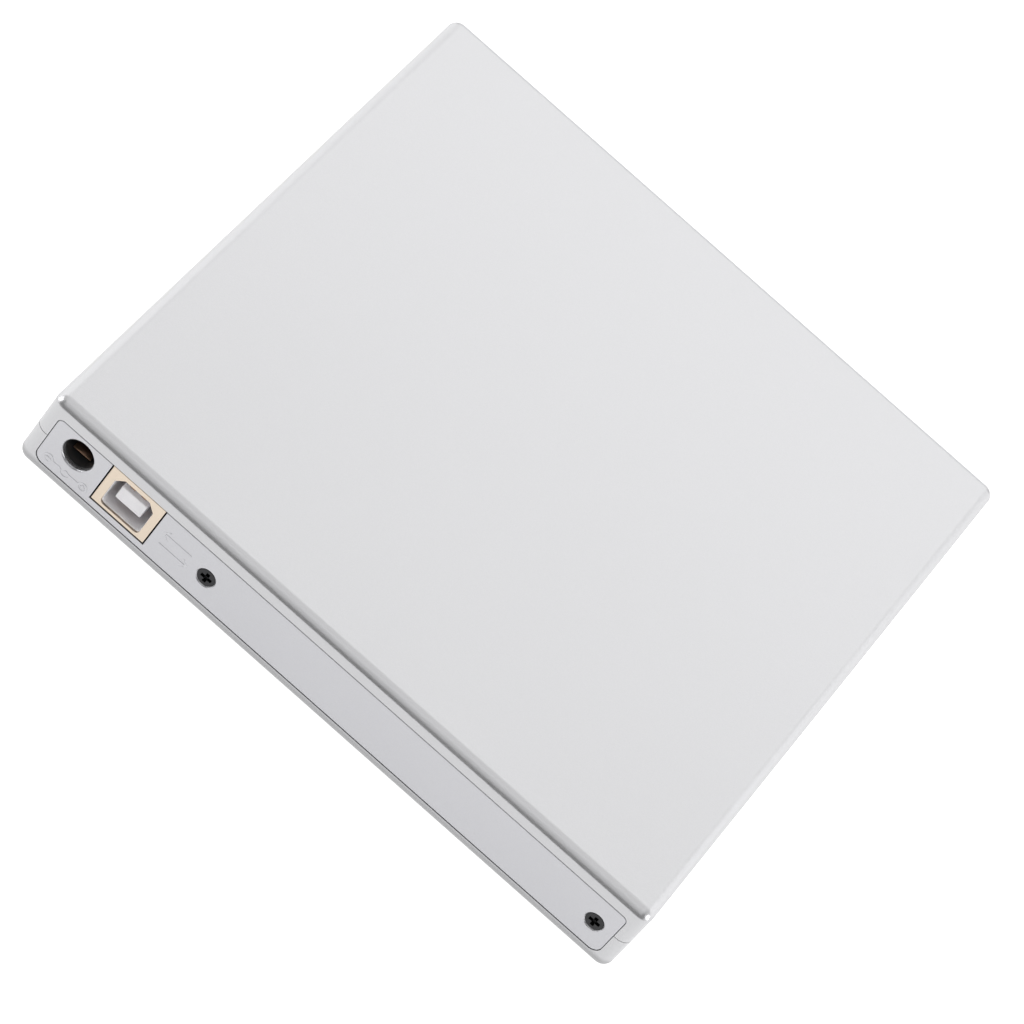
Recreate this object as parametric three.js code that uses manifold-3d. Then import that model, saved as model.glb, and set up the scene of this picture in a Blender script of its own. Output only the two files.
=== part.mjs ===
// External optical drive: a slim tray drive in a two-part silver case, with its bridge board,
// data socket and power jack behind it.
// Millimetres, +Z up, origin at the middle of the feet's resting plane. The tray comes out
// towards -Y; the sockets are in the +Y end.

import * as THREE from 'three';
import { mergeVertices } from 'three/addons/utils/BufferGeometryUtils.js';
import Module from 'manifold-3d';

const wasm = await Module();
wasm.setup();

// ---------------------------------------------------------------- driving dimensions

const runningGap = 0.3;
const fineGap = 0.15;
const restGap = 0.05;

const foot = { height: 1.2, radius: 5, thickness: 1.5, seatDepth: 0.6, edge: 0.4, x: 54, y: 59 };

const caseWidth = 136.4;
const caseDepth = 145;
const caseHeight = 17.7;
const caseWall = 1.5;
const cornerRadius = 2.3;
const edgeRadius = 1.9;
const rearWall = 3;
const frontWall = 2;
const seamGap = 0.2;
const seamLip = { thickness: 0.6, height: 1, overlap: 2, clearance: 0.2 };

const caseBottom = foot.height;
const caseTop = caseBottom + caseHeight;
const seamHeight = caseBottom + caseHeight / 2;
const caseRear = caseDepth / 2;
const caseFront = -caseDepth / 2;
const floorTop = caseBottom + caseWall;
const ceiling = caseTop - caseWall;

// The plate that closes the rear, and what shows through it.
const plate = {
  halfWidth: 65.25,
  bottom: caseBottom + 2.5,
  top: caseBottom + 14.1,
  thickness: 1.5,
  lowCorner: 2,
  highCorner: 1.2,
  gapAbove: 0.15,
  gapBelow: 0.2,
  lip: 1.2,
};
const plateBack = caseRear - plate.thickness;
const socketX = 46.8;
const socketFlange = { width: 12, bottom: caseBottom + 4.2, top: caseBottom + 14.1, depth: 0.9, gap: 0.25 };
const socketMouth = { width: 8.45, height: 7.78, chamfer: 1.6, corner: 0.9, middle: caseBottom + 9 };
const jack = { x: 58.9, height: caseBottom + 9.9, holeRadius: 3.35 };
const rearScrew = {
  left: 28.4, right: -61.1, height: caseBottom + 8.2, headRadius: 1.9, headDepth: 1.05, length: 6.5,
};
const screwShank = 0.8;
const screwHole = 1.1;

// The bridge board behind the drive.
const board = { left: -20, right: 65.6, front: 57.3, rear: 69.2, bottom: 4, top: 5.2 };
const boardPosts = { x: [-15, 36, 60], y: 65, size: 5 };
const screwPost = { width: 5.2, front: 62.5, rise: 2.4 };

// The drive inside the case: a sheet steel pan and lid round the tray.
const drive = { halfWidth: 64, bottom: 3.7, top: 16.4, front: -67.4, rear: 56, lidBottom: 12, panTop: 15.4 };
const panSheet = 0.8;
const lidSheet = 0.5;
const panHalfWidth = drive.halfWidth - panSheet;
const panFloor = drive.bottom + panSheet;
const driveScrew = { x: 50, front: -50, rear: 40, headRadius: 1.75, headDepth: 0.7, length: 3.3, sunk: 0.15 };
const driveScrewPad = { size: 8, boreRadius: 2.1, boreDepth: 1 };

// The tray and what it carries.
const discCentreY = -6.8;
const well = { radius: 60.4, floor: 12.2 };
const tray = { halfWidth: 60.9, front: -67.6, rear: 54.6, top: 14.8, underside: 11, corner: 3 };
const trayFrame = { halfWidth: 58.4, wall: 2, frontWall: 1.6, bottom: 6, rear: 54 };
const rail = { inner: 59, outer: 61.9, bottom: 6.7, top: 10.7, front: -66, rear: 50, sheet: 0.6 };
const guideOuter = 62.1;
const bezel = { halfWidth: 64.7, bottom: 3.55, top: 16.55, back: -68, corner: 1, rounding: 0.7 };
const bezelMiddle = (bezel.bottom + bezel.top) / 2;
const bezelHoleGap = 0.6;
const button = { x: 42, width: 8, height: 3.2, back: -70, sunk: 0.1 };
const buttonFlange = { width: 9.6, height: 4.8, front: -70.1, back: -69.3 };
const buttonPocket = { width: 11, height: 6, front: -70.6 };
const buttonStem = { radius: 1, front: -69.5, back: -68.3 };
const lightPipe = { x: 32.5, width: 3, height: 1.4, back: -67.9, sunk: 0.1 };
const pinhole = { x: 26, radius: 0.7 };

// The laser unit under the well: spindle, traverse frame, rods, lead screw and pickup.
const lensStartRadius = 23.4;
const lensY = discCentreY - lensStartRadius;
const motor = { radius: 12.5, bottom: 7.7, top: 9.6, shaftHole: 1.5, edge: 0.4, slope: 0.6 };
const turntable = {
  radius: 14.3, bottom: 8, waist: 9.9, top: 12.9, shaft: 1.2, recess: 7.8, recessDepth: 0.5,
  edge: 0.4, slope: 0.3,
};
const pad = { inner: 9.5, outer: 13.7, lift: 0.05, thickness: 0.3 };
const rod = { height: 8.4, radius: 1.4, left: -18.6, right: 13.6, front: -67, rear: -14.8 };
const leadScrew = { x: 21.5, radius: 1.3, front: -66.9, rear: -19.4 };
const stepper = {
  width: 7.6, bottom: 5.9, top: 10.7, front: -21.6, rear: -10.6, rounding: 2.2, boreDepth: 2.6,
};
const traverse = { left: -27, right: 29.2, front: -67.3, rear: 11, bottom: 6.2, sheet: 1.2, lugTop: 10.3 };
const traverseWindow = { left: -22.8, right: 25.8, front: -65.4, rear: -17.2 };
const rodLug = { width: 6, front: -16.9, rear: -13.5, boreEnd: -14.4 };

// How far a cutter reaches past what it cuts, and how deep a joined piece is sunk into its base.
const past = 1;
const rooted = 0.5;

const roundSteps = 24;
const smallSteps = 12;
const cornerSteps = 4;

// ---------------------------------------------------------------- shaping tools

function solidFrom(geometry) {
  geometry.deleteAttribute('normal');
  geometry.deleteAttribute('uv');
  const merged = mergeVertices(geometry, 1e-4);
  return new wasm.Manifold(new wasm.Mesh({
    numProp: 3,
    vertProperties: Float32Array.from(merged.attributes.position.array),
    triVerts: Uint32Array.from(merged.index.array),
  }));
}

function geometryFrom(solid) {
  const mesh = solid.getMesh();
  const geometry = new THREE.BufferGeometry();
  geometry.setAttribute('position', new THREE.BufferAttribute(mesh.vertProperties, 3));
  geometry.setIndex(new THREE.BufferAttribute(mesh.triVerts, 1));
  geometry.computeVertexNormals();
  return geometry;
}

function joined(first, ...others) {
  return others.reduce((sum, other) => sum.add(other), first);
}

function cut(first, ...others) {
  return others.reduce((rest, other) => rest.subtract(other), first);
}

// A range of the given width round a middle.
function span(middle, width) {
  return [middle - width / 2, middle + width / 2];
}

function box([x0, x1], [y0, y1], [z0, z1]) {
  const geometry = new THREE.BoxGeometry(x1 - x0, y1 - y0, z1 - z0);
  geometry.translate((x0 + x1) / 2, (y0 + y1) / 2, (z0 + z1) / 2);
  return solidFrom(geometry);
}

// A round bar standing along Z.
function barUp([x, y], radius, [z0, z1], steps = roundSteps) {
  const geometry = new THREE.CylinderGeometry(radius, radius, z1 - z0, steps);
  geometry.rotateX(Math.PI / 2);
  geometry.translate(x, y, (z0 + z1) / 2);
  return solidFrom(geometry);
}

// A round bar lying along Y, which may taper from one end to the other.
function barAlong([x, z], radius, [y0, y1], { steps = roundSteps, farRadius = radius } = {}) {
  const geometry = new THREE.CylinderGeometry(farRadius, radius, y1 - y0, steps);
  geometry.translate(x, (y0 + y1) / 2, z);
  return solidFrom(geometry);
}

// A rectangle outline whose two lower and two upper corners have their own radii.
function roundedRectangle([x0, x1], [y0, y1], low, high = low) {
  const shape = new THREE.Shape();
  const quarter = Math.PI / 2;
  shape.absarc(x1 - low, y0 + low, low, -quarter, 0, false);
  shape.absarc(x1 - high, y1 - high, high, 0, quarter, false);
  shape.absarc(x0 + high, y1 - high, high, quarter, 2 * quarter, false);
  shape.absarc(x0 + low, y0 + low, low, 2 * quarter, 3 * quarter, false);
  shape.closePath();
  return shape;
}

function outline(points) {
  return new THREE.Shape(points.map(([x, y]) => new THREE.Vector2(x, y)));
}

// A flat piece of an XY outline between two heights.
function slab(shape, [z0, z1], steps = cornerSteps) {
  const settings = { depth: z1 - z0, bevelEnabled: false, curveSegments: steps };
  const geometry = new THREE.ExtrudeGeometry(shape, settings);
  geometry.translate(0, 0, z0);
  return solidFrom(geometry);
}

// A slab whose upper and lower edges are rounded, keeping the outline's full size in the middle.
function pillow(shape, [z0, z1], rounding, steps = cornerSteps) {
  const geometry = new THREE.ExtrudeGeometry(shape, {
    depth: z1 - z0 - 2 * rounding,
    bevelEnabled: true,
    bevelThickness: rounding,
    bevelSize: rounding,
    bevelOffset: -rounding,
    bevelSegments: steps,
    curveSegments: steps,
  });
  geometry.translate(0, 0, z0 + rounding);
  return solidFrom(geometry);
}

// An outline drawn in X and Z, given thickness along Y.
function panel(shape, [y0, y1], steps = cornerSteps) {
  return slab(shape, [-y1, -y0], steps).rotate([90, 0, 0]);
}

// A solid of revolution about the vertical line through (x, y), from radius and height pairs.
function turned([x, y], profile, steps = roundSteps) {
  const geometry = new THREE.LatheGeometry(profile.map(([r, z]) => new THREE.Vector2(r, z)), steps);
  geometry.rotateX(Math.PI / 2);
  geometry.translate(x, y, 0);
  return solidFrom(geometry);
}

// ---------------------------------------------------------------- the object as a scene graph

const opticalDrive = new THREE.Group();

function place(name, solid, color, roughness, metalness, group = opticalDrive) {
  const material = new THREE.MeshStandardMaterial({ color, roughness, metalness });
  const mesh = new THREE.Mesh(geometryFrom(solid), material);
  mesh.name = name;
  group.add(mesh);
  return mesh;
}

const silver = [0xe2e2e4, 0.35, 0.6];
const plateSilver = [0xcbcbd0, 0.4, 0.5];
const bezelSilver = [0xd8d8da, 0.4, 0.3];
const bareSteel = [0xb9bcc0, 0.3, 1];
const darkSteel = [0x3a3a3c, 0.35, 0.9];
const castGrey = [0x8e9296, 0.5, 0.6];
const castDark = [0x4a4b4e, 0.5, 0.5];
const aluminium = [0x8d9aa3, 0.3, 0.8];
const turntableMetal = [0x9a9c9f, 0.4, 0.7];
const warmNickel = [0xd9c6b0, 0.35, 0.5];
const copper = [0xa5744c, 0.4, 1];
const blackPlastic = [0x161618, 0.45, 0];
const trayPlastic = [0x2a2b2e, 0.55, 0];
const whitePlastic = [0xdcdae2, 0.5, 0];
const palePlastic = [0xd8d4c8, 0.5, 0];
const greyPlastic = [0x6d7074, 0.55, 0];
const greenBoard = [0x1d5a3a, 0.5, 0];
const rubber = [0x2a2a2b, 0.9, 0];
const lightWindow = [0xbfe8c4, 0.1, 0];
const lensGlass = [0x9fb8d8, 0.05, 0];

// ---------------------------------------------------------------- case shells

const wholeWidth = span(0, caseWidth + 2 * past);
const wholeDepth = span(0, caseDepth + 2 * past);

// The whole case as one rounded block; both shells are cut from it.
function caseBlock() {
  const footprint = roundedRectangle(span(0, caseWidth), span(0, caseDepth), cornerRadius);
  return pillow(footprint, [caseBottom, caseTop], edgeRadius);
}

// The room inside the case, grown outwards by an offset.
function caseRoom(zSpan, offset = 0) {
  const xSpan = span(0, caseWidth - 2 * caseWall + 2 * offset);
  const ySpan = [caseFront + frontWall - offset, caseRear - rearWall + offset];
  return slab(roundedRectangle(xSpan, ySpan, cornerRadius - caseWall + offset), zSpan);
}

function frontOpening() {
  const mouth = roundedRectangle(
    span(0, 2 * (bezel.halfWidth + runningGap)),
    [bezel.bottom - runningGap, bezel.top + runningGap],
    bezel.rounding + runningGap,
  );
  return panel(mouth, [caseFront - past, caseFront + frontWall + past]);
}

// The stepped opening that the rear plate sits in: a pocket its own size, then a smaller hole.
function rearOpening(gap) {
  const pocket = roundedRectangle(
    span(0, 2 * (plate.halfWidth + gap)),
    [plate.bottom - gap, plate.top + gap],
    plate.lowCorner,
    plate.highCorner,
  );
  const hole = roundedRectangle(
    span(0, 2 * (plate.halfWidth - plate.lip)),
    [plate.bottom + plate.lip, plate.top - plate.lip],
    plate.highCorner,
  );
  return joined(
    panel(pocket, [plateBack - fineGap, caseRear + past]),
    panel(hole, [caseRear - rearWall - past, plateBack]),
  );
}

const socketRoom = { side: 0.4, jackSide: 4.9, above: 0.35 };

function upperShell() {
  const room = box(
    [socketX - socketFlange.width / 2 - socketRoom.side, jack.x + socketRoom.jackSide],
    [caseRear - rearWall - rooted, plateBack + 2 * restGap],
    [floorTop, plate.top + socketRoom.above],
  );
  return cut(
    caseBlock(),
    box(wholeWidth, wholeDepth, [caseBottom - past, seamHeight + seamGap / 2]),
    caseRoom([seamHeight - past, ceiling]),
    caseRoom(
      [seamHeight, seamHeight + seamLip.height + seamLip.clearance],
      seamLip.thickness + seamLip.clearance,
    ),
    frontOpening(),
    rearOpening(plate.gapAbove),
    room,
  );
}

// A post for one rear screw, standing on the case floor behind the plate.
function rearScrewPost(x) {
  const ySpan = [screwPost.front, plateBack - runningGap];
  const zSpan = [floorTop - rooted, rearScrew.height + screwPost.rise];
  const bore = barAlong(
    [x, rearScrew.height], screwHole, [screwPost.front - past, caseRear], { steps: smallSteps },
  );
  return cut(box(span(x, screwPost.width), ySpan, zSpan), bore);
}

// The shell's floor at one drive screw: a raised pad with a counterbored hole.
function withScrewPad(shell, x, y) {
  const { size, boreRadius, boreDepth } = driveScrewPad;
  return cut(
    joined(shell, box(span(x, size), span(y, size), [floorTop - rooted, drive.bottom - restGap])),
    barUp([x, y], boreRadius, [caseBottom - past, caseBottom + boreDepth], 16),
    barUp([x, y], screwHole, [caseBottom - past, drive.bottom + past], smallSteps),
  );
}

function lowerShell() {
  const hollow = cut(
    caseBlock(),
    box(wholeWidth, wholeDepth, [seamHeight - seamGap / 2, caseTop + past]),
  );
  const lip = caseRoom([seamHeight - seamLip.overlap, seamHeight + seamLip.height], seamLip.thickness);
  let shell = cut(joined(hollow, lip), caseRoom([floorTop, seamHeight + seamLip.height + past]));
  for (const side of [-1, 1]) {
    for (const y of [driveScrew.front, driveScrew.rear]) {
      shell = withScrewPad(shell, side * driveScrew.x, y);
    }
    for (const y of [-foot.y, foot.y]) {
      const zSpan = [caseBottom - past, caseBottom + foot.seatDepth];
      shell = cut(shell, barUp([side * foot.x, y], foot.radius + runningGap, zSpan));
    }
  }
  for (const x of boardPosts.x) {
    const zSpan = [floorTop - rooted, board.bottom - restGap];
    shell = joined(shell, box(span(x, boardPosts.size), span(boardPosts.y, boardPosts.size), zSpan));
  }
  for (const x of [rearScrew.left, rearScrew.right]) {
    shell = joined(shell, rearScrewPost(x));
  }
  return cut(shell, frontOpening(), rearOpening(plate.gapBelow));
}

// ---------------------------------------------------------------- rear plate and its marks

const mark = { height: 0.15, line: 0.35, root: 0.3 };
const markDepth = [caseRear - mark.root, caseRear];
const throughPlate = [plateBack - past, caseRear + past];
const polarity = { z: caseBottom + 4.7, reach: 3.9, ring: 1.05, arc: 1.3, dot: 0.45, sign: 0.5 };
const polarityBars = { near: 1.2, far: 2.9, start: -0.3 };
const arrows = { x: 35.6, tip: 3.4, tail: 3, barb: 1.5, spread: 0.9, upper: 9.8, lower: 7 };
const countersink = { radius: 2.25, start: 0.4 };

function markRing(x, z, radius) {
  return cut(
    barAlong([x, z], radius, markDepth, { steps: 14 }),
    barAlong([x, z], radius - mark.line, throughPlate, { steps: 14 }),
  );
}

function markBar(xSpan, z) {
  return box(xSpan, markDepth, span(z, mark.line));
}

// The usual polarity mark of a power jack: a centre dot in an open arc between two ringed signs.
function polarityMark() {
  const { z, reach, ring, arc, dot, sign } = polarity;
  const { near, far, start } = polarityBars;
  const [left, right] = [jack.x - reach, jack.x + reach];
  const arcOpening = box(span(jack.x, 3 * arc), throughPlate, [z + mark.line, z + 2 * arc]);
  return joined(
    markRing(right, z, ring),
    markBar([right - sign, right + sign], z),
    markBar([jack.x + near, jack.x + far], z),
    cut(markRing(jack.x, z, arc), arcOpening),
    barAlong([jack.x, z], dot, markDepth, { steps: 10 }),
    markBar([jack.x - far, jack.x + start], z),
    markRing(left, z, ring),
    markBar([left - sign, left + sign], z),
    box(span(left, mark.line), markDepth, [z - sign, z + sign]),
  );
}

// A plain two-way arrow pair for the data socket.
function dataMark() {
  const arrow = (z, side) => {
    const tip = arrows.x + side * arrows.tip;
    const tail = arrows.x - side * arrows.tail;
    const neck = tip - side * arrows.barb;
    const head = outline([[tip, z], [neck, z + side * arrows.spread], [neck, z - side * arrows.spread]]);
    const bar = markBar([Math.min(tail, tip - side), Math.max(tail, tip - side)], z);
    return joined(panel(head, markDepth), bar);
  };
  return joined(arrow(caseBottom + arrows.upper, 1), arrow(caseBottom + arrows.lower, -1));
}

function rearPlate() {
  const face = roundedRectangle(
    span(0, 2 * plate.halfWidth), [plate.bottom, plate.top], plate.lowCorner, plate.highCorner,
  );
  const socketNotch = box(
    span(socketX, socketFlange.width + 2 * socketFlange.gap),
    throughPlate,
    [socketFlange.bottom - socketFlange.gap, plate.top + past],
  );
  // The marks stand in a shallow bed, so their faces stay level with the case.
  let body = panel(face, [plateBack, caseRear - mark.height]);
  body = joined(body, polarityMark(), dataMark());
  body = cut(
    body,
    socketNotch,
    barAlong([jack.x, jack.height], jack.holeRadius, throughPlate, { steps: 32 }),
  );
  for (const x of [rearScrew.left, rearScrew.right]) {
    const middle = [x, rearScrew.height];
    const sink = [plateBack + countersink.start, caseRear];
    body = cut(
      body,
      barAlong(middle, screwHole, throughPlate),
      barAlong(middle, screwHole, sink, { farRadius: countersink.radius }),
    );
  }
  return body;
}

// ---------------------------------------------------------------- screws and feet

const crossSlot = { width: 0.28, length: 1.15, depth: 0.7 };
const screwRim = 0.15;
const screwTip = 0.4;

// A cross-head screw standing along Z with its head's face at the origin, pointing down.
function crossScrew({ headRadius, headDepth, length }) {
  const profile = [
    [0, -length], [screwShank / 2, -length], [screwShank, screwTip - length], [screwShank, -headDepth],
    [headRadius, -screwRim], [headRadius - screwRim, 0], [0, 0],
  ];
  const long = headRadius * crossSlot.length;
  const narrow = headRadius * crossSlot.width;
  const slots = [[long, narrow], [narrow, long]].map(([width, depth]) => (
    box(span(0, width), span(0, depth), [-crossSlot.depth, past])
  ));
  return cut(turned([0, 0], profile, 14), ...slots);
}

function placeRearScrew(name, x) {
  const screw = place(name, crossScrew(rearScrew), ...darkSteel);
  screw.rotation.x = -Math.PI / 2;
  screw.position.set(x, caseRear - mark.height - restGap, rearScrew.height);
}

function placeDriveScrew(name, x, y) {
  const screw = place(name, crossScrew(driveScrew), ...bareSteel);
  screw.rotation.x = Math.PI;
  screw.position.set(x, y, caseBottom + driveScrew.sunk);
}

function placeFoot(name, x, y) {
  const { radius, edge, thickness } = foot;
  const profile = [[0, 0], [radius - edge, 0], [radius, edge], [radius, thickness], [0, thickness]];
  const mesh = place(name, turned([0, 0], profile), ...rubber);
  mesh.position.set(x, y, 0);
}

// ---------------------------------------------------------------- bridge board and sockets

const partsOnBoard = board.top + fineGap;
const connectorSize = { left: -16, right: 12, height: 4, wall: 1 };
const boardConnectorEnds = [58.9, 62.2];
const driveConnectorEnds = [56.9, 58.6];
const chip = { x: [14.5, 23.5], y: [59, 68], height: 1.2 };
const crystal = { x: [-8, 3], y: [64, 68], height: 3, corner: 1.9, rounding: 0.4 };
const capacitor = {
  x: 36.1, front: 60.3, rear: 66.2, radius: 2.5, height: 6.6, edge: 0.4, inset: 0.1, topInset: 0.3,
};

function bridgeBoard() {
  const postRoom = box(
    span(rearScrew.left, screwPost.width + 1),
    [screwPost.front - rooted, board.rear + past],
    [board.bottom - past, board.top + past],
  );
  return cut(box([board.left, board.right], [board.front, board.rear], [board.bottom, board.top]), postRoom);
}

function connector([y0, y1]) {
  const { left, right, height, wall } = connectorSize;
  return cut(
    box([left, right], [y0, y1], [partsOnBoard, partsOnBoard + height]),
    box(
      [left + wall, right - wall],
      [y0 - past, y0 + past],
      [partsOnBoard + wall, partsOnBoard + height - wall],
    ),
  );
}

// The socket's mouth: square below with small rounds, its two upper corners cut off.
function socketMouthOutline(grow = 0) {
  const half = socketMouth.width / 2 + grow;
  const low = socketMouth.middle - socketMouth.height / 2 - grow;
  const high = socketMouth.middle + socketMouth.height / 2 + grow;
  const corner = socketMouth.corner;
  const shape = new THREE.Shape();
  shape.absarc(socketX + half - corner, low + corner, corner, -Math.PI / 2, 0, false);
  shape.lineTo(socketX + half, high - socketMouth.chamfer);
  shape.lineTo(socketX + half - socketMouth.chamfer, high);
  shape.lineTo(socketX - half + socketMouth.chamfer, high);
  shape.lineTo(socketX - half, high - socketMouth.chamfer);
  shape.absarc(socketX - half + corner, low + corner, corner, Math.PI, 1.5 * Math.PI, false);
  shape.closePath();
  return shape;
}

const can = {
  halfWidth: 5.75,
  bottom: socketFlange.bottom + restGap,
  top: socketFlange.top - restGap,
  front: caseRear - socketFlange.depth,
  back: 58.2,
  sheet: 0.3,
  sunk: 0.1,
  mouthGap: 0.1,
};
const tongue = { width: 5.6, height: 3.2, sunk: 1.1 };
const contact = { offset: 1.25, width: 1.1, thickness: 0.3, back: 61.5, front: 70.4 };
const insulatorBackWall = 1.5;

function socketCan() {
  const flange = box(
    span(socketX, socketFlange.width),
    [can.front, caseRear - can.sunk],
    [socketFlange.bottom, socketFlange.top],
  );
  const sleeve = box(span(socketX, 2 * can.halfWidth), [can.back, can.front], [can.bottom, can.top]);
  const inside = box(
    span(socketX, 2 * (can.halfWidth - can.sheet)),
    [can.back + can.sheet, can.front - can.sunk],
    [can.bottom + can.sheet, can.top - can.sheet],
  );
  const mouth = panel(socketMouthOutline(can.mouthGap), [can.front - past, caseRear + past]);
  return cut(joined(flange, sleeve), inside, mouth);
}

function socketInsulator() {
  const margin = can.sheet + fineGap;
  const front = can.front - can.sunk - fineGap;
  const back = can.back + margin;
  const body = box(
    span(socketX, 2 * (can.halfWidth - margin)),
    [back, front],
    [can.bottom + margin, can.top - margin],
  );
  const mouth = panel(socketMouthOutline(), [back + insulatorBackWall, front + past]);
  const tongueEnds = [back + insulatorBackWall - rooted, caseRear - tongue.sunk];
  const tongueBar = box(span(socketX, tongue.width), tongueEnds, span(socketMouth.middle, tongue.height));
  return joined(cut(body, mouth), tongueBar);
}

// One contact strip on the tongue's upper or lower face.
function socketContact(side, face) {
  const near = socketMouth.middle + face * (tongue.height / 2 + restGap);
  const far = near + face * contact.thickness;
  return box(
    span(socketX + side * contact.offset, contact.width),
    [contact.back, contact.front],
    [Math.min(near, far), Math.max(near, far)],
  );
}

const jackBody = { width: 8.6, back: 58.5, front: plateBack - 0.4, top: 15.3 };
const jackBore = { radius: 3.15, back: 60.5, pinHole: 1.3 };
const pin = { radius: 1, tip: 0.6, length: 10, start: 0.4 };
const leaf = {
  width: 3.9, drop: 1.9, sheet: 0.3, droop: 0.12, start: 0.4, rise: 65, bend: 68.6, front: 69.9,
};

function jackHousing() {
  const middle = [jack.x, jack.height];
  return cut(
    box(span(jack.x, jackBody.width), [jackBody.back, jackBody.front], [partsOnBoard, jackBody.top]),
    barAlong(middle, jackBore.radius, [jackBore.back, caseRear], { steps: 32 }),
    barAlong(middle, jackBore.pinHole, [jackBody.back - past, jackBore.back + past], { steps: smallSteps }),
  );
}

function placeJackPin() {
  const { radius, tip, length, start } = pin;
  const profile = [[0, 0], [radius, 0], [radius, length - tip], [tip, length], [0, length]];
  const mesh = place('jack_pin', turned([0, 0], profile, 16), ...bareSteel);
  mesh.rotation.x = -Math.PI / 2;
  mesh.position.set(jack.x, jackBody.back + start, jack.height);
}

// The sprung leaf that touches the plug's barrel from below.
function jackSpring() {
  const top = jack.height - leaf.drop;
  const upper = [
    [jackBore.back + leaf.start, top - leaf.droop], [leaf.rise, top], [leaf.bend, top],
    [leaf.front, top - leaf.droop],
  ];
  const lower = upper.map(([y, z]) => [y, z - leaf.sheet]);
  // Drawn in Y and Z, then turned so that its width lies along X.
  const strip = slab(outline([...lower, ...upper.reverse()]), span(0, leaf.width));
  return strip.rotate([90, 0, 90]).translate([jack.x, 0, 0]);
}

function placeCapacitor(name, y) {
  const { x, radius, height, edge, inset, topInset } = capacitor;
  const profile = [
    [0, 0], [radius - inset, 0], [radius, edge], [radius, height - edge], [radius - topInset, height],
    [0, height],
  ];
  const mesh = place(name, turned([0, 0], profile, 20), ...aluminium);
  mesh.position.set(x, y, partsOnBoard);
}

// ---------------------------------------------------------------- drive pan, lid and rails

function drivePan() {
  const outer = box(
    span(0, 2 * panHalfWidth), [drive.front, drive.rear], [drive.bottom, drive.panTop],
  );
  const room = box(
    span(0, 2 * (panHalfWidth - panSheet)),
    [drive.front - past, drive.rear - panSheet],
    [panFloor, drive.top],
  );
  const holes = [];
  for (const x of [-driveScrew.x, driveScrew.x]) {
    for (const y of [driveScrew.front, driveScrew.rear]) {
      holes.push(barUp([x, y], screwHole, [drive.bottom - past, panFloor + past], smallSteps));
    }
  }
  return cut(outer, room, ...holes);
}

function driveLid() {
  const rear = drive.rear + lidSheet + runningGap;
  return cut(
    box(span(0, 2 * drive.halfWidth), [drive.front, rear], [drive.lidBottom, drive.top]),
    box(
      span(0, 2 * (drive.halfWidth - lidSheet)),
      [drive.front - past, rear - lidSheet],
      [drive.lidBottom - past, drive.top - lidSheet],
    ),
  );
}

function railGuide(side) {
  const xSpan = side > 0 ? [rail.inner, guideOuter] : [-guideOuter, -rail.inner];
  return box(xSpan, [rail.front, rail.rear], [panFloor + runningGap, rail.bottom - runningGap]);
}

// A steel channel whose open side faces the tray.
function slideRail(side) {
  const { inner, outer, bottom, top, sheet } = rail;
  const points = [
    [inner, bottom], [outer, bottom], [outer, top], [inner, top], [inner, top - sheet],
    [outer - sheet, top - sheet], [outer - sheet, bottom + sheet], [inner, bottom + sheet],
  ].map(([x, z]) => [side * x, z]);
  return panel(outline(side > 0 ? points : points.reverse()), [rail.front, rail.rear]);
}

// ---------------------------------------------------------------- tray, bezel and button

const spindleHoleGap = 1;
const pickupSlot = { width: 19.2, front: -66.3 };
const laserRoomGap = 1.5;
const latchRoom = { x: [-49, -34], front: 50 };
const frontHole = { depth: 2.6, switchHeights: [8.1, 11.8], lightWidth: 4, lightHeights: [8.8, 11.3] };
const trayTongue = { reach: 1.3, front: -62, rear: 50, heights: [7.9, 9.5] };

function trayBody() {
  const throughFrame = [trayFrame.bottom - past, tray.underside];
  const throughFloor = [tray.underside - past, well.floor + past];
  const frontWallEnds = [tray.front - past, tray.front + frontHole.depth];
  const deck = slab(
    roundedRectangle(span(0, 2 * tray.halfWidth), [tray.front, tray.rear], tray.corner),
    [tray.underside, tray.top],
  );
  const frame = box(
    span(0, 2 * trayFrame.halfWidth),
    [tray.front, trayFrame.rear],
    [trayFrame.bottom, tray.underside + rooted],
  );
  const underRoom = box(
    span(0, 2 * (trayFrame.halfWidth - trayFrame.wall)),
    [tray.front + trayFrame.frontWall, trayFrame.rear - trayFrame.wall],
    throughFrame,
  );
  const laserSpan = [traverse.left - laserRoomGap, traverse.right + laserRoomGap];
  const tongues = [-1, 1].map((side) => {
    const ends = [side * (trayFrame.halfWidth - rooted), side * (rail.outer - trayTongue.reach)];
    return box(ends.sort((a, b) => a - b), [trayTongue.front, trayTongue.rear], trayTongue.heights);
  });
  const body = cut(
    joined(deck, frame),
    barUp([0, discCentreY], well.radius, [well.floor, tray.top + past], 72),
    underRoom,
    box(laserSpan, [tray.front - past, 0], throughFrame),
    box(latchRoom.x, [latchRoom.front, trayFrame.rear + past], throughFrame),
    barUp([0, discCentreY], turntable.radius + spindleHoleGap, throughFloor, 40),
    box(span(0, pickupSlot.width), [pickupSlot.front, discCentreY], throughFloor),
    box(span(button.x, button.width), frontWallEnds, frontHole.switchHeights),
    box(span(lightPipe.x, frontHole.lightWidth), frontWallEnds, frontHole.lightHeights),
  );
  return joined(body, ...tongues);
}

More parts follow.
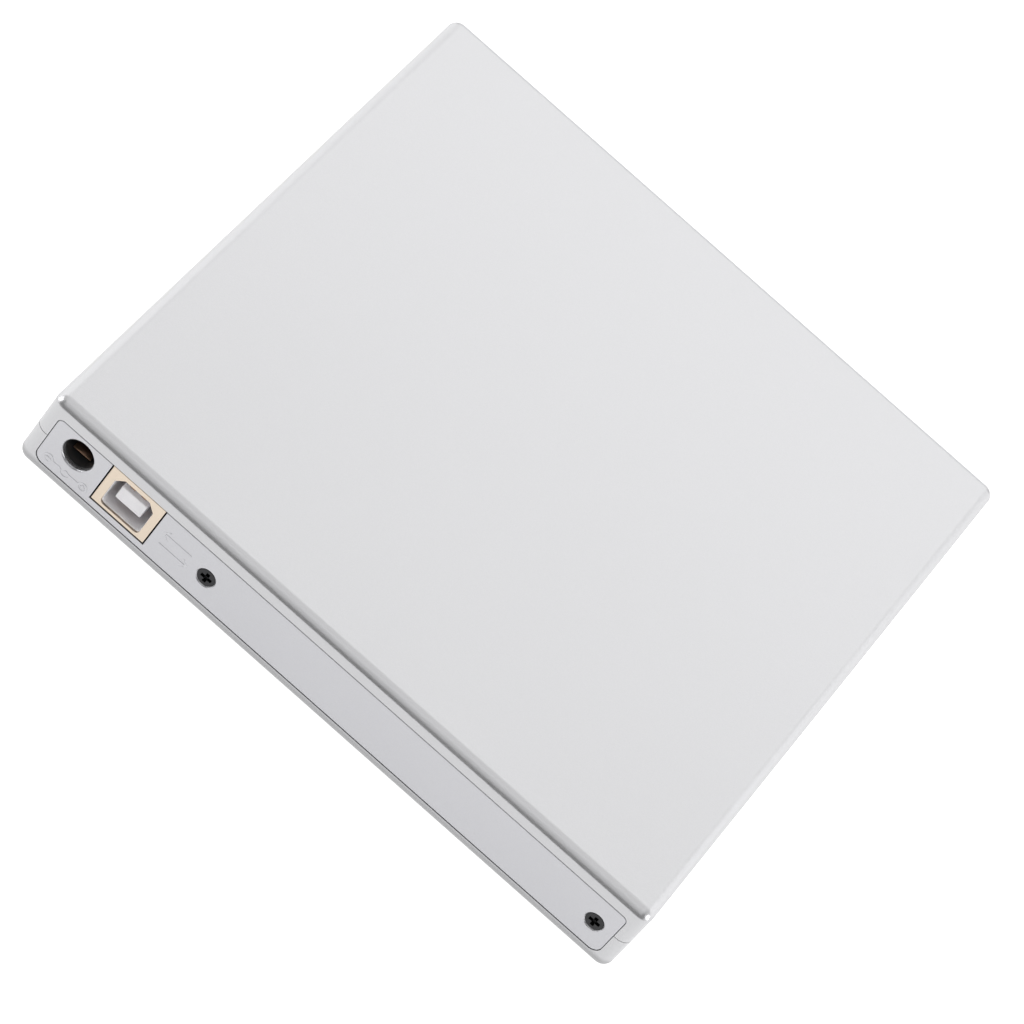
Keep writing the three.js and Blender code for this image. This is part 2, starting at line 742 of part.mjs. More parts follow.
function bezelFront() {
  const face = roundedRectangle(span(0, 2 * bezel.halfWidth), [bezel.bottom, bezel.top], bezel.corner);
  const throughBezel = [caseFront - past, bezel.back + past];
  const hole = (middle, width, height) => (
    box(span(middle, width + bezelHoleGap), throughBezel, span(bezelMiddle, height + bezelHoleGap))
  );
  // Rounded at both ends, then its rear end is cut off flat.
  const behind = -caseFront + bezel.back;
  const block = pillow(face, [-bezel.back - behind, -caseFront], bezel.rounding, 3).rotate([90, 0, 0]);
  return cut(
    block,
    box(wholeWidth, [bezel.back, bezel.back + 2 * behind], [0, caseTop + past]),
    hole(button.x, button.width, button.height),
    box(
      span(button.x, buttonPocket.width), [buttonPocket.front, bezel.back + past],
      span(bezelMiddle, buttonPocket.height),
    ),
    hole(lightPipe.x, lightPipe.width, lightPipe.height),
    barAlong([pinhole.x, bezelMiddle], pinhole.radius, throughBezel, { steps: smallSteps }),
  );
}

function ejectButton() {
  const { width, height, front, back } = buttonFlange;
  return joined(
    box(
      span(button.x, button.width),
      [caseFront + button.sunk, button.back],
      span(bezelMiddle, button.height),
    ),
    box(span(button.x, width), [front, back], span(bezelMiddle, height)),
    barAlong(
      [button.x, bezelMiddle], buttonStem.radius, [buttonStem.front, buttonStem.back], { steps: smallSteps },
    ),
  );
}

const ejectSwitchSize = { width: 6, front: -66.3, rear: -63.5, bottom: 8.3, top: 10.7 };
const switchPlunger = { radius: 0.8, height: 9.6, front: -66.8 };

function ejectSwitch() {
  const { width, front, rear, bottom, top } = ejectSwitchSize;
  const plungerEnds = [switchPlunger.front, front + runningGap];
  return joined(
    box(span(button.x, width), [front, rear], [bottom, top]),
    barAlong([button.x, switchPlunger.height], switchPlunger.radius, plungerEnds, { steps: smallSteps }),
  );
}

// ---------------------------------------------------------------- laser unit

const motorSeatGap = 1.1;
const stepperSeatGap = 0.4;
const turntableGap = 0.5;
const rodFrontReach = -70;
const allHeights = [0, 20];

function traverseFrame() {
  const sheetTop = traverse.bottom + traverse.sheet;
  const lugHeights = [traverse.bottom, traverse.lugTop];
  const wholeSpan = [traverse.left, traverse.right];
  const rodPlaces = [rod.left, rod.right];
  const window = box(
    [traverseWindow.left, traverseWindow.right], [traverseWindow.front, traverseWindow.rear], allHeights,
  );
  const motorSeat = barUp([0, discCentreY], motor.radius + motorSeatGap, allHeights, 32);
  const stepperRoom = box(
    span(leadScrew.x, stepper.width + 2 * (stepperSeatGap + restGap)),
    [traverseWindow.rear - past, stepper.rear + stepperSeatGap],
    allHeights,
  );
  const frame = joined(
    cut(
      box(wholeSpan, [traverse.front, traverse.rear], [traverse.bottom, sheetTop]),
      cut(window, motorSeat),
      stepperRoom,
    ),
    box(wholeSpan, [traverse.front, traverseWindow.front], lugHeights),
    ...rodPlaces.map((x) => box(span(x, rodLug.width), [rodLug.front, rodLug.rear], lugHeights)),
  );
  return cut(
    frame,
    barUp([0, discCentreY], turntable.radius + turntableGap, [sheetTop, allHeights[1]], 40),
    ...rodPlaces.map((x) => (
      barAlong([x, rod.height], rod.radius + runningGap, [rodFrontReach, rodLug.boreEnd])
    )),
    barAlong(
      [leadScrew.x, rod.height], leadScrew.radius + runningGap, [rodFrontReach, traverseWindow.front + past],
    ),
  );
}

function placeGuideRod(name, x) {
  place(name, barAlong([x, rod.height], rod.radius, [rod.front, rod.rear]), ...bareSteel);
}

function stepperMotor() {
  const { width, bottom, top, front, rear, rounding, boreDepth } = stepper;
  const side = roundedRectangle(span(leadScrew.x, width), [bottom, top], rounding);
  const bore = [front - past, front + boreDepth];
  return cut(
    panel(side, [front, rear]),
    barAlong([leadScrew.x, rod.height], leadScrew.radius + runningGap, bore, { steps: 16 }),
  );
}

const sled = { left: -22, right: 17.2, front: 2.2, rear: 12.4, bottom: 6.4, top: 10.5 };
const turret = { width: 17.6, front: 3.4, rear: 6.5, bottom: 10.45, top: 12 };
const follower = { left: 17, depth: 4, bottom: 7.4, top: 9.4 };
const lensWell = { radius: 2.8, floor: 9.8 };
const motorClearance = 2.4;

function pickupSled() {
  const followerSpan = [follower.left, leadScrew.x - leadScrew.radius - runningGap];
  const solid = joined(
    box([sled.left, sled.right], [lensY - sled.front, lensY + sled.rear], [sled.bottom, sled.top]),
    box(span(0, turret.width), [lensY - turret.front, lensY + turret.rear], [turret.bottom, turret.top]),
    box(followerSpan, span(lensY, follower.depth), [follower.bottom, follower.top]),
  );
  return cut(
    solid,
    barUp([0, discCentreY], motor.radius + motorClearance, allHeights, 40),
    barUp([0, lensY], lensWell.radius, [lensWell.floor, turret.top + past], 20),
    ...[rod.left, rod.right].map((x) => (
      barAlong([x, rod.height], rod.radius + runningGap, [lensY - sled.rear, 0])
    )),
  );
}

const holder = { inner: 1.75, outer: 2.4, bottom: 10.7, top: 11.9 };
const lensRise = [[1.6, 0], [1.6, 0.7], [1.3, 1.05], [0.7, 1.25], [0, 1.3]];
const lensBottom = 11;

function lensHolder() {
  const { inner, outer, bottom, top } = holder;
  const profile = [[inner, bottom], [outer, bottom], [outer, top], [inner, top], [inner, bottom]];
  return turned([0, lensY], profile, 16);
}

function objectiveLens() {
  const profile = [[0, 0], ...lensRise].map(([radius, rise]) => [radius, lensBottom + rise]);
  return turned([0, lensY], profile, 16);
}

function spindleMotor() {
  const { radius, bottom, top, shaftHole, edge, slope } = motor;
  const profile = [
    [shaftHole, bottom], [radius, bottom], [radius, top - edge], [radius - slope, top], [shaftHole, top],
    [shaftHole, bottom],
  ];
  return turned([0, discCentreY], profile, 32);
}

function turntableDisc() {
  const { radius, bottom, waist, top, shaft, recess, recessDepth, edge, slope } = turntable;
  const profile = [
    [0, bottom], [shaft, bottom], [shaft, waist], [radius, waist], [radius, top - edge],
    [radius - slope, top], [recess, top], [recess, top - recessDepth], [0, top - recessDepth],
  ];
  return turned([0, discCentreY], profile, 32);
}

function turntablePad() {
  const low = turntable.top + pad.lift;
  const high = low + pad.thickness;
  const profile = [
    [pad.inner, low], [pad.outer, low], [pad.outer, high], [pad.inner, high], [pad.inner, low],
  ];
  return turned([0, discCentreY], profile, 32);
}

const hubProfile = [[7.35, 14.1], [6.7, 14.8], [5.2, 15.1], [3, 15.1], [2.6, 14.6], [0, 14.6]];
const hubFoot = { radius: 7.3, lift: 0.05 };
const clawGap = { inner: 4.2, outer: 8, width: 0.7, rise: 0.3 };

// The cone that centres the disc, with three gaps that leave sprung claws between them.
function centringHub() {
  const low = turntable.top - turntable.recessDepth + hubFoot.lift;
  const profile = [[0, low], [hubFoot.radius, low], ...hubProfile];
  const heights = [turntable.top + clawGap.rise, allHeights[1]];
  const gaps = [0, 120, 240].map((angle) => (
    box([clawGap.inner, clawGap.outer], span(0, clawGap.width), heights)
      .rotate([0, 0, angle])
      .translate([0, discCentreY, 0])
  ));
  return cut(turned([0, discCentreY], profile, 24), ...gaps);
}

// ---------------------------------------------------------------- tray electronics and latch

const underplate = { width: 114, front: -66, rear: 46, bottom: 5.1, top: 5.6 };
const mainBoard = { x: [-22, 54], y: [14, 50], z: [8.6, 9.6] };
const mainChip = { x: [6, 22], y: [24, 40], z: [7.1, 8.45] };
const frontBoard = { x: [35.5, 56], y: [-65.8, -58], z: [7, 8] };
const solenoid = { x: [-33.5, -24], y: [28, 44], z: [6.2, 10.4] };
const flatCable = { x: [-20, 4], y: [-12, 54.6], lift: 0.1, thickness: 0.2 };
const latchPivot = { x: -38, y: 34, radius: 2.5 };
const latchPin = { x: -44, y: 48.4, radius: 1.2, top: 9.4 };
const latchArm = { left: -39.5, right: -36.8, front: 33, rear: 53.2, tip: -41.5, hook: 51.4 };
const latchHeights = [7, 8.6];

function brick({ x, y, z }) {
  return box(x, y, z);
}

function latchHook() {
  const { left, right, front, rear, tip, hook } = latchArm;
  const arm = outline([[left, front], [right, front], [right, rear], [tip, rear], [tip, hook], [left, hook]]);
  const boss = barUp([latchPivot.x, latchPivot.y], latchPivot.radius, latchHeights, 20);
  return joined(slab(arm, latchHeights), boss);
}

// ---------------------------------------------------------------- assembly

place('upper_shell', upperShell(), ...silver);
place('lower_shell', lowerShell(), ...silver);
place('rear_plate', rearPlate(), ...plateSilver);
placeRearScrew('rear_screw_left', rearScrew.left);
placeRearScrew('rear_screw_right', rearScrew.right);
for (const [side, sign] of [['left', -1], ['right', 1]]) {
  placeFoot(`foot_front_${side}`, sign * foot.x, -foot.y);
  placeFoot(`foot_rear_${side}`, sign * foot.x, foot.y);
  placeDriveScrew(`drive_screw_front_${side}`, sign * driveScrew.x, driveScrew.front);
  placeDriveScrew(`drive_screw_rear_${side}`, sign * driveScrew.x, driveScrew.rear);
}

place('bridge_board', bridgeBoard(), ...greenBoard);
place('bridge_chip', box(chip.x, chip.y, [partsOnBoard, partsOnBoard + chip.height]), ...blackPlastic);
const crystalOutline = roundedRectangle(crystal.x, crystal.y, crystal.corner);
const crystalHeights = [partsOnBoard, partsOnBoard + crystal.height];
place('crystal_can', pillow(crystalOutline, crystalHeights, crystal.rounding, 2), ...bareSteel);
placeCapacitor('capacitor_front', capacitor.front);
placeCapacitor('capacitor_rear', capacitor.rear);
place('board_connector', connector(boardConnectorEnds), ...blackPlastic);
place('drive_connector', connector(driveConnectorEnds), ...blackPlastic);

place('socket_can', socketCan(), ...warmNickel);
place('socket_insulator', socketInsulator(), ...whitePlastic);
for (const [row, face] of [['upper', 1], ['lower', -1]]) {
  place(`socket_contact_${row}_left`, socketContact(-1, face), ...copper);
  place(`socket_contact_${row}_right`, socketContact(1, face), ...copper);
}
place('jack_housing', jackHousing(), ...blackPlastic);
placeJackPin();
place('jack_spring', jackSpring(), ...copper);

place('drive_pan', drivePan(), ...bareSteel);
place('drive_lid', driveLid(), ...bareSteel);
const cableBottom = panFloor + flatCable.lift;
place(
  'flat_cable',
  box(flatCable.x, flatCable.y, [cableBottom, cableBottom + flatCable.thickness]),
  ...palePlastic,
);
const latchPinHeights = [panFloor + restGap, latchPin.top];
place('latch_pin', barUp([latchPin.x, latchPin.y], latchPin.radius, latchPinHeights, 16), ...bareSteel);
for (const [side, sign] of [['left', -1], ['right', 1]]) {
  place(`rail_guide_${side}`, railGuide(sign), ...greyPlastic);
  place(`slide_rail_${side}`, slideRail(sign), ...bareSteel);
}

place('tray', trayBody(), ...trayPlastic);
place('tray_bezel', bezelFront(), ...bezelSilver);
place('eject_button', ejectButton(), ...bezelSilver);
const pipeEnds = [caseFront + lightPipe.sunk, lightPipe.back];
const pipeHeights = span(bezelMiddle, lightPipe.height);
place('light_pipe', box(span(lightPipe.x, lightPipe.width), pipeEnds, pipeHeights), ...lightWindow);
place('front_board', brick(frontBoard), ...greenBoard);
place('eject_switch', ejectSwitch(), ...blackPlastic);
place(
  'tray_underplate',
  box(span(0, underplate.width), [underplate.front, underplate.rear], [underplate.bottom, underplate.top]),
  ...bareSteel,
);
place('drive_board', brick(mainBoard), ...greenBoard);
place('drive_chip', brick(mainChip), ...blackPlastic);

place('traverse_frame', traverseFrame(), ...castGrey);
placeGuideRod('guide_rod_left', rod.left);
placeGuideRod('guide_rod_right', rod.right);
const leadScrewEnds = [leadScrew.front, leadScrew.rear];
place(
  'lead_screw',
  barAlong([leadScrew.x, rod.height], leadScrew.radius, leadScrewEnds, { steps: 16 }),
  ...bareSteel,
);
place('stepper_motor', stepperMotor(), ...bareSteel);
place('pickup_sled', pickupSled(), ...castDark);
place('lens_holder', lensHolder(), ...blackPlastic);
place('objective_lens', objectiveLens(), ...lensGlass);
place('spindle_motor', spindleMotor(), ...darkSteel);
place('turntable', turntableDisc(), ...turntableMetal);
place('turntable_pad', turntablePad(), ...rubber);
place('centring_hub', centringHub(), ...blackPlastic);
place('latch_hook', latchHook(), ...palePlastic);
place('latch_solenoid', brick(solenoid), ...bareSteel);

export default opticalDrive;
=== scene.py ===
import math

import bmesh
import bpy
from mathutils import Matrix, Vector


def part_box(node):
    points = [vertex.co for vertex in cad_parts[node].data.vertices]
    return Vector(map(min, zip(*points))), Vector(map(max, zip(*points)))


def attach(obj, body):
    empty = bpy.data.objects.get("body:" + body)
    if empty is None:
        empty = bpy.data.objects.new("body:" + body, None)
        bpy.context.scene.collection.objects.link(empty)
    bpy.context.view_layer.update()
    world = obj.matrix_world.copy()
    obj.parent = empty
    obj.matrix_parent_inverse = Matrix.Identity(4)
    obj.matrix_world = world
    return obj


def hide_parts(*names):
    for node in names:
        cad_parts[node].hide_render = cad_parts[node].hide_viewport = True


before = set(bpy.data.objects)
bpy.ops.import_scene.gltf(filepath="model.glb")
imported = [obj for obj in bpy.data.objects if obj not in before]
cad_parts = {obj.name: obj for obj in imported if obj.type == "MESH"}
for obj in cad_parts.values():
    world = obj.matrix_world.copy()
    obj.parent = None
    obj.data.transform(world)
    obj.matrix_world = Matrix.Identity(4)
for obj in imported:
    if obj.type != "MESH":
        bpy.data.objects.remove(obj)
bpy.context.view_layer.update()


# ------------------------------------------------------------------ case shells
# Two moulded plastic shells, upper and lower, sprayed with satin silver metal-flake paint. They
# meet on a seam half way up, where the lower one's lip tucks inside the upper one. The rear plate
# and the tray's front fill the openings at their two ends.

MM = 0.001
CORNER_STEPS = 10
past = 1 * MM  # how far a cutter reaches past the face that it opens

case_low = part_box("lower_shell")[0]
case_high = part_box("upper_shell")[1]
case_corner = 2.3 * MM
case_wall = 1.5 * MM
room_corner = 0.5 * MM
front_wall = 2 * MM
rear_wall = 3 * MM
base_edge = 1.9 * MM
smallest_corner = 0.2 * MM
top_edge = 2.5 * MM
top_edge_end = 0.76
seam_height = (case_low.z + case_high.z) / 2
seam_gap = 0.1 * MM
seam_lip = 0.6 * MM
seam_lip_height = 1 * MM
seam_clearance = 0.2 * MM
moulded_edge = 0.1 * MM
doubled_points = 1e-6  # points closer than this are one point


class Wire:
    """A node's output, in a material or a geometry tree, that Python's operators work on."""

    def __init__(self, tree, socket=None):
        self.tree = tree
        self.socket = socket

    def node(self, kind, settings=None, inputs=None, output=0):
        """Adds a node of any kind: its settings come first, then its inputs' values or links."""
        made = self.tree.nodes.new(kind)
        for name, value in (settings or {}).items():
            setattr(made, name, value)
        for name, value in (inputs or {}).items():
            for each in value if isinstance(value, list) else [value]:
                if isinstance(each, Wire):
                    self.tree.links.new(each.socket, made.inputs[name])
                else:
                    made.inputs[name].default_value = each
        return Wire(self.tree, made.outputs[output]) if made.outputs else None

    def maths(self, operation, first, second):
        return self.node("ShaderNodeMath", {"operation": operation}, {0: first, 1: second})

    def __add__(self, other):
        return self.maths("ADD", self, other)

    def __radd__(self, other):
        return self.maths("ADD", other, self)

    def __sub__(self, other):
        return self.maths("SUBTRACT", self, other)

    def __rsub__(self, other):
        return self.maths("SUBTRACT", other, self)

    def __mul__(self, other):
        return self.maths("MULTIPLY", self, other)

    def __rmul__(self, other):
        return self.maths("MULTIPLY", other, self)

    def __neg__(self):
        return self * -1

    def __lt__(self, other):
        return self.maths("LESS_THAN", self, other)

    def __gt__(self, other):
        return self.maths("GREATER_THAN", self, other)

    def between(self, first, second):
        """The colour that lies between two colours, as far along as this value says."""
        settings = {"data_type": "RGBA"}
        return self.node("ShaderNodeMix", settings, {0: self, 6: first, 7: second}, output=2)


def new_material(name, steady):
    """A material whose surface shader has the values that are the same all over it."""
    material = bpy.data.materials.new(name)
    material.use_nodes = True
    shader = material.node_tree.nodes["Principled BSDF"]
    for socket, value in steady.items():
        shader.inputs[socket].default_value = value
    place = Wire(material.node_tree).node("ShaderNodeTexCoord", output="Object")
    return material, shader, place


def feed(shader, socket, wire):
    wire.tree.links.new(wire.socket, shader.inputs[socket])


def noise(place, size, detail=2.0):
    """Soft noise whose spots are about the given size in metres, from 0 to 1."""
    return place.node("ShaderNodeTexNoise", None, {"Vector": place, "Scale": 1 / size, "Detail": detail})


def grains(place, size):
    """A random value for each grain of the given size in metres."""
    cell = place.node("ShaderNodeTexVoronoi", None, {"Vector": place, "Scale": 1 / size}, "Color")
    return cell.node("ShaderNodeSeparateColor", None, {0: cell})


def raise_surface(shader, height, distance):
    """Raises the shaded surface by a height from 0 to 1 times the distance."""
    bump = height.node("ShaderNodeBump", None, {"Distance": distance, "Height": height})
    feed(shader, "Normal", bump)


def shade(colour, factor):
    """A colour made lighter or darker, with full alpha."""
    return tuple(channel * factor for channel in colour) + (1,)


def silver_paint(name, colour, roughness, painted_shade_band=None):
    """Sprayed silver: fine metal flakes, a faint orange-peel skin and a few specks of dust. Where a pair of
    heights is given, a painted shade darkens the colour from the higher one down to the lower one, standing in
    for the floor's shadow near the case's base.
    """
    material, shader, place = new_material(name, {"Metallic": 0.8})
    flakes = grains(place, 0.12 * MM)
    clouds = noise(place, 30 * MM)
    paint = (flakes * 0.55 + clouds * 0.45).between(shade(colour, 0.95), shade(colour, 1.04))
    # Painted shade: below the given heights the paint turns darker, standing in for the shadow near the floor.
    if painted_shade_band:
        height = place.node("ShaderNodeSeparateXYZ", None, {0: place}, "Z")
        steepness = 1 / (painted_shade_band[1] - painted_shade_band[0])
        paint = ((height - painted_shade_band[0]) * steepness).between(shade(colour, 0.7), paint)
    dust = place.node("ShaderNodeTexVoronoi", None, {"Vector": place, "Scale": 1 / (24 * MM)}) < 0.006
    feed(shader, "Base Color", dust.between(paint, shade(colour, 0.8)))
    feed(shader, "Roughness", flakes * 0.08 + (clouds * 0.04 + (roughness - 0.06)))
    raise_surface(shader, flakes * 0.5 + noise(place, 0.9 * MM), 0.006 * MM)
    return material


def mesh_piece(name, points, faces):
    mesh = bpy.data.meshes.new(name)
    mesh.from_pydata(points, [], faces)
    piece = bpy.data.objects.new(name, mesh)
    bpy.context.collection.objects.link(piece)
    return piece


def clean(piece, merge=1e-8):
    """Merges doubled points and turns every face outwards."""
    shape = bmesh.new()
    shape.from_mesh(piece.data)
    bmesh.ops.remove_doubles(shape, verts=shape.verts, dist=merge)
    bmesh.ops.recalc_face_normals(shape, faces=shape.faces)
    shape.to_mesh(piece.data)
    shape.free()
    return piece


def stack(name, loops):
    """A closed skin over loops of equally many points, each end closed by one flat face."""
    count = len(loops[0])
    points = [point for loop in loops for point in loop]
    faces = [list(range(count))[::-1], [len(points) - count + k for k in range(count)]]
    for level in range(len(loops) - 1):
        base = level * count
        for k in range(count):
            after = (k + 1) % count
            faces.append((base + k, base + after, base + count + after, base + count + k))
    return clean(mesh_piece(name, points, faces))


def arc(centre, radius, start, end, steps=CORNER_STEPS):
    """Points on an arc, from one angle to another in quarter turns."""
    angles = [math.pi / 2 * (start + (end - start) * k / steps) for k in range(steps + 1)]
    return [(centre[0] + radius * math.cos(a), centre[1] + radius * math.sin(a)) for a in angles]


def circle(centre, radius, steps=64):
    return arc(centre, radius, 0, 4, steps)[:-1]


def rounded_loop(span_a, span_b, low, high=None):
    """A rectangle's outline, with one radius at its two lower corners and one at the upper."""
    high = low if high is None else high
    (a0, a1), (b0, b1) = span_a, span_b
    if low == 0:
        return [(a1, b0), (a1, b1), (a0, b1), (a0, b0)]
    return (
        arc((a1 - low, b0 + low), low, -1, 0)
        + arc((a1 - high, b1 - high), high, 0, 1)
        + arc((a0 + high, b1 - high), high, 1, 2)
        + arc((a0 + low, b0 + low), low, 2, 3)
    )


def around(middle, width):
    return (middle - width / 2, middle + width / 2)


def slab(name, loop, heights):
    """An outline in X and Y made solid between two heights."""
    return stack(name, [[(x, y, z) for x, y in loop] for z in heights])


def panel(name, loop, depths):
    """An outline in X and Z made solid between two places along Y."""
    return stack(name, [[(x, y, z) for x, z in loop] for y in depths])


def block(name, span_x, span_y, span_z):
    return slab(name, rounded_loop(span_x, span_y, 0), span_z)


def settle(piece):
    """Turns a piece's modifiers into plain mesh."""
    graph = bpy.context.evaluated_depsgraph_get()
    mesh = bpy.data.meshes.new_from_object(piece.evaluated_get(graph))
    piece.modifiers.clear()
    piece.data = mesh
    return piece


def boolean(piece, others, operation):
    for other in others:
        modifier = piece.modifiers.new(operation, "BOOLEAN")
        modifier.operation = operation
        modifier.solver = "EXACT"
        modifier.object = other
    settle(piece)
    for other in others:
        bpy.data.objects.remove(other)
    return piece


def carve(piece, *cutters):
    return boolean(piece, cutters, "DIFFERENCE")


def fuse(piece, *others):
    return boolean(piece, others, "UNION")


def soften(piece, width, segments=2, angle=40):
    """Rounds every edge that is sharper than an angle in degrees."""
    shape = bmesh.new()
    shape.from_mesh(piece.data)
    bmesh.ops.remove_doubles(shape, verts=shape.verts, dist=doubled_points)
    bmesh.ops.dissolve_limit(shape, angle_limit=math.radians(0.5), verts=shape.verts, edges=shape.edges)
    shape.to_mesh(piece.data)
    shape.free()
    modifier = piece.modifiers.new("rounding", "BEVEL")
    modifier.width = width
    modifier.segments = segments
    modifier.limit_method = "ANGLE"
    modifier.angle_limit = math.radians(angle)
    modifier.use_clamp_overlap = True
    return settle(piece)


def complete(piece, body, nodes, material, sharp=35):
    """Smooth shading, material, the body that it rides on and the CAD nodes that it stands for."""
    piece.data.shade_smooth()
    piece.data.set_sharp_from_angle(angle=math.radians(sharp))
    modifier = piece.modifiers.new("flat faces stay flat", "WEIGHTED_NORMAL")
    modifier.keep_sharp = True
    settle(piece)
    piece.data.materials.clear()
    piece.data.materials.append(material)
    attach(piece, body)
    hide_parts(*nodes)
    return piece


def case_block(name):
    """The whole case as one block. Its top edge is a broad arc that ends in a crisp line."""
    half_x = case_high.x
    half_y = case_high.y
    base_arc = arc((0, 0), base_edge, 1, 0)
    levels = [(base_edge - reach, case_low.z + base_edge - rise) for reach, rise in base_arc]
    reach_end = top_edge * math.sin(math.pi / 2 * top_edge_end)
    for k in range(CORNER_STEPS + 1):
        lean = math.pi / 2 * top_edge_end * (1 - k / CORNER_STEPS)
        levels.append((reach_end - top_edge * math.sin(lean), case_high.z - top_edge * (1 - math.cos(lean))))
    loops = []
    for inset, z in levels:
        spans = (-half_x + inset, half_x - inset), (-half_y + inset, half_y - inset)
        loops.append([(x, y, z) for x, y in rounded_loop(*spans, max(case_corner - inset, smallest_corner))])
    return stack(name, loops)


def case_room(heights, grow=0.0):
    """The room inside the walls, grown outwards."""
    half = case_high.x - case_wall + grow
    span_y = (case_low.y + front_wall - grow, case_high.y - rear_wall + grow)
    return slab("room", rounded_loop((-half, half), span_y, room_corner + grow), heights)


plate_low, plate_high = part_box("rear_plate")
plate_lip = 1.2 * MM
plate_corner_low = 2 * MM
plate_corner_high = 1.2 * MM
plate_gap_above = 0.17 * MM
plate_gap_below = 0.035 * MM
plate_gap_side = 0.03 * MM
plate_seat_gap = 0.15 * MM
bezel_low, bezel_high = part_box("tray_bezel")
mouth_gap = 0.3 * MM
mouth_corner = 1 * MM


def front_mouth():
    """The opening that the tray's front closes."""
    span_x = (bezel_low.x - mouth_gap, bezel_high.x + mouth_gap)
    span_z = (bezel_low.z - mouth_gap, bezel_high.z + mouth_gap)
    depths = (case_low.y - past, case_low.y + front_wall + past)
    return panel("mouth", rounded_loop(span_x, span_z, mouth_corner), depths)


def rear_cutters(gap):
    """The pocket that the rear plate sits in, and the smaller hole behind it."""
    pocket = rounded_loop(
        (plate_low.x - plate_gap_side, plate_high.x + plate_gap_side),
        (plate_low.z - gap, plate_high.z + gap),
        plate_corner_low, plate_corner_high,
    )
    hole = rounded_loop(
        (plate_low.x + plate_lip, plate_high.x - plate_lip),
        (plate_low.z + plate_lip, plate_high.z - plate_lip), plate_corner_high,
    )
    return [
        panel("pocket", pocket, (plate_low.y - plate_seat_gap, case_high.y + past)),
        panel("hole", hole, (case_high.y - rear_wall - past, plate_low.y)),
    ]


def middle_of(node):
    low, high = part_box(node)
    return (low + high) / 2


beyond = (case_low.x - past, case_high.x + past), (case_low.y - past, case_high.y + past)
# Painted shade: the case's paint darkens below the rear plate's lower edge, standing in for the shadow near the
# floor.
base_painted_shade_band = (plate_low.z - 0.6 * MM, plate_low.z + 0.3 * MM)
case_paint = silver_paint("case silver paint", (0.52, 0.52, 0.53), 0.34, base_painted_shade_band)

can_low, can_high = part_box("socket_can")
jack_low, jack_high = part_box("jack_housing")
can_room = 0.4 * MM
jack_room = 0.6 * MM
room_above_plate = 0.35 * MM
room_overlap = 0.1 * MM
upper = carve(
    case_block("upper_case"),
    block("below", *beyond, (case_low.z - past, seam_height + seam_gap / 2)),
    case_room((seam_height - past, case_high.z - case_wall)),
    case_room((seam_height, seam_height + seam_lip_height + seam_clearance), seam_lip + seam_clearance),
    front_mouth(),
    *rear_cutters(plate_gap_above),
    block(
        "socket room", (can_low.x - can_room, jack_high.x + jack_room),
        (case_high.y - rear_wall - past, plate_low.y + room_overlap),
        (case_low.z, plate_high.z + room_above_plate),
    ),
)
soften(upper, moulded_edge)
complete(upper, "enclosure", ["upper_shell"], case_paint)

ENDS = ("front", "rear")
SIDES = ("left", "right")
foot_seat_radius = 5.3 * MM
foot_seat_depth = 0.6 * MM
rear_screws = ["rear_screw_left", "rear_screw_right"]
base_screws = [f"drive_screw_{end}_{side}" for end in ENDS for side in SIDES]
feet = [f"foot_{end}_{side}" for end in ENDS for side in SIDES]
screw_bore = 1.1 * MM
screw_well = 2.1 * MM
screw_well_depth = 1 * MM
screw_pad_width = 8 * MM
resting_gap = 0.05 * MM
post_foot = case_low.z + case_wall / 2
pad_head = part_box("drive_pan")[0].z - resting_gap
board_post_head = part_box("bridge_board")[0].z - resting_gap
board_post_width = 5 * MM
board_post_line = 65 * MM
board_post_places = (-15 * MM, 36 * MM, 60 * MM)
screw_post_width = 5.2 * MM
screw_post_front = 62.5 * MM
screw_post_gap = 0.3 * MM
screw_post_cover = 2.4 * MM

lower = carve(
    case_block("lower_case"),
    block("above", *beyond, (seam_height - seam_gap / 2, case_high.z + past)),
)
fuse(lower, case_room((seam_height - 2 * seam_lip_height, seam_height + seam_lip_height), seam_lip))
carve(lower, case_room((case_low.z + case_wall, seam_height + 3 * seam_lip_height)))
for name in base_screws:
    middle = middle_of(name)
    pad_spans = around(middle.x, screw_pad_width), around(middle.y, screw_pad_width)
    fuse(lower, block("pad", *pad_spans, (post_foot, pad_head)))
    well = circle((middle.x, middle.y), screw_well, 40)
    bore = circle((middle.x, middle.y), screw_bore, 24)
    carve(
        lower,
        slab("well", well, (case_low.z - past, case_low.z + screw_well_depth)),
        slab("bore", bore, (case_low.z - past, pad_head + past)),
    )
for name in feet:
    middle = middle_of(name)
    seat = circle((middle.x, middle.y), foot_seat_radius)
    carve(lower, slab("seat", seat, (case_low.z - past, case_low.z + foot_seat_depth)))
for x in board_post_places:
    post_spans = around(x, board_post_width), around(board_post_line, board_post_width)
    fuse(lower, block("board post", *post_spans, (post_foot, board_post_head)))
for name in rear_screws:
    middle = middle_of(name)
    post = block(
        "screw post", around(middle.x, screw_post_width),
        (screw_post_front, plate_low.y - screw_post_gap), (post_foot, middle.z + screw_post_cover),
    )
    bore = circle((middle.x, middle.z), screw_bore, 24)
    fuse(lower, carve(post, panel("bore", bore, (screw_post_front - past, plate_low.y + past))))
carve(lower, front_mouth(), *rear_cutters(plate_gap_below))
soften(lower, moulded_edge)
complete(lower, "enclosure", ["lower_shell"], case_paint)


# ------------------------------------------------------------------ rear plate
# A thin moulded plate in the same silver, with its own edge all round. It has a notch for the
# data socket, a hole for the power jack, two countersunk screw holes and slightly raised marks.

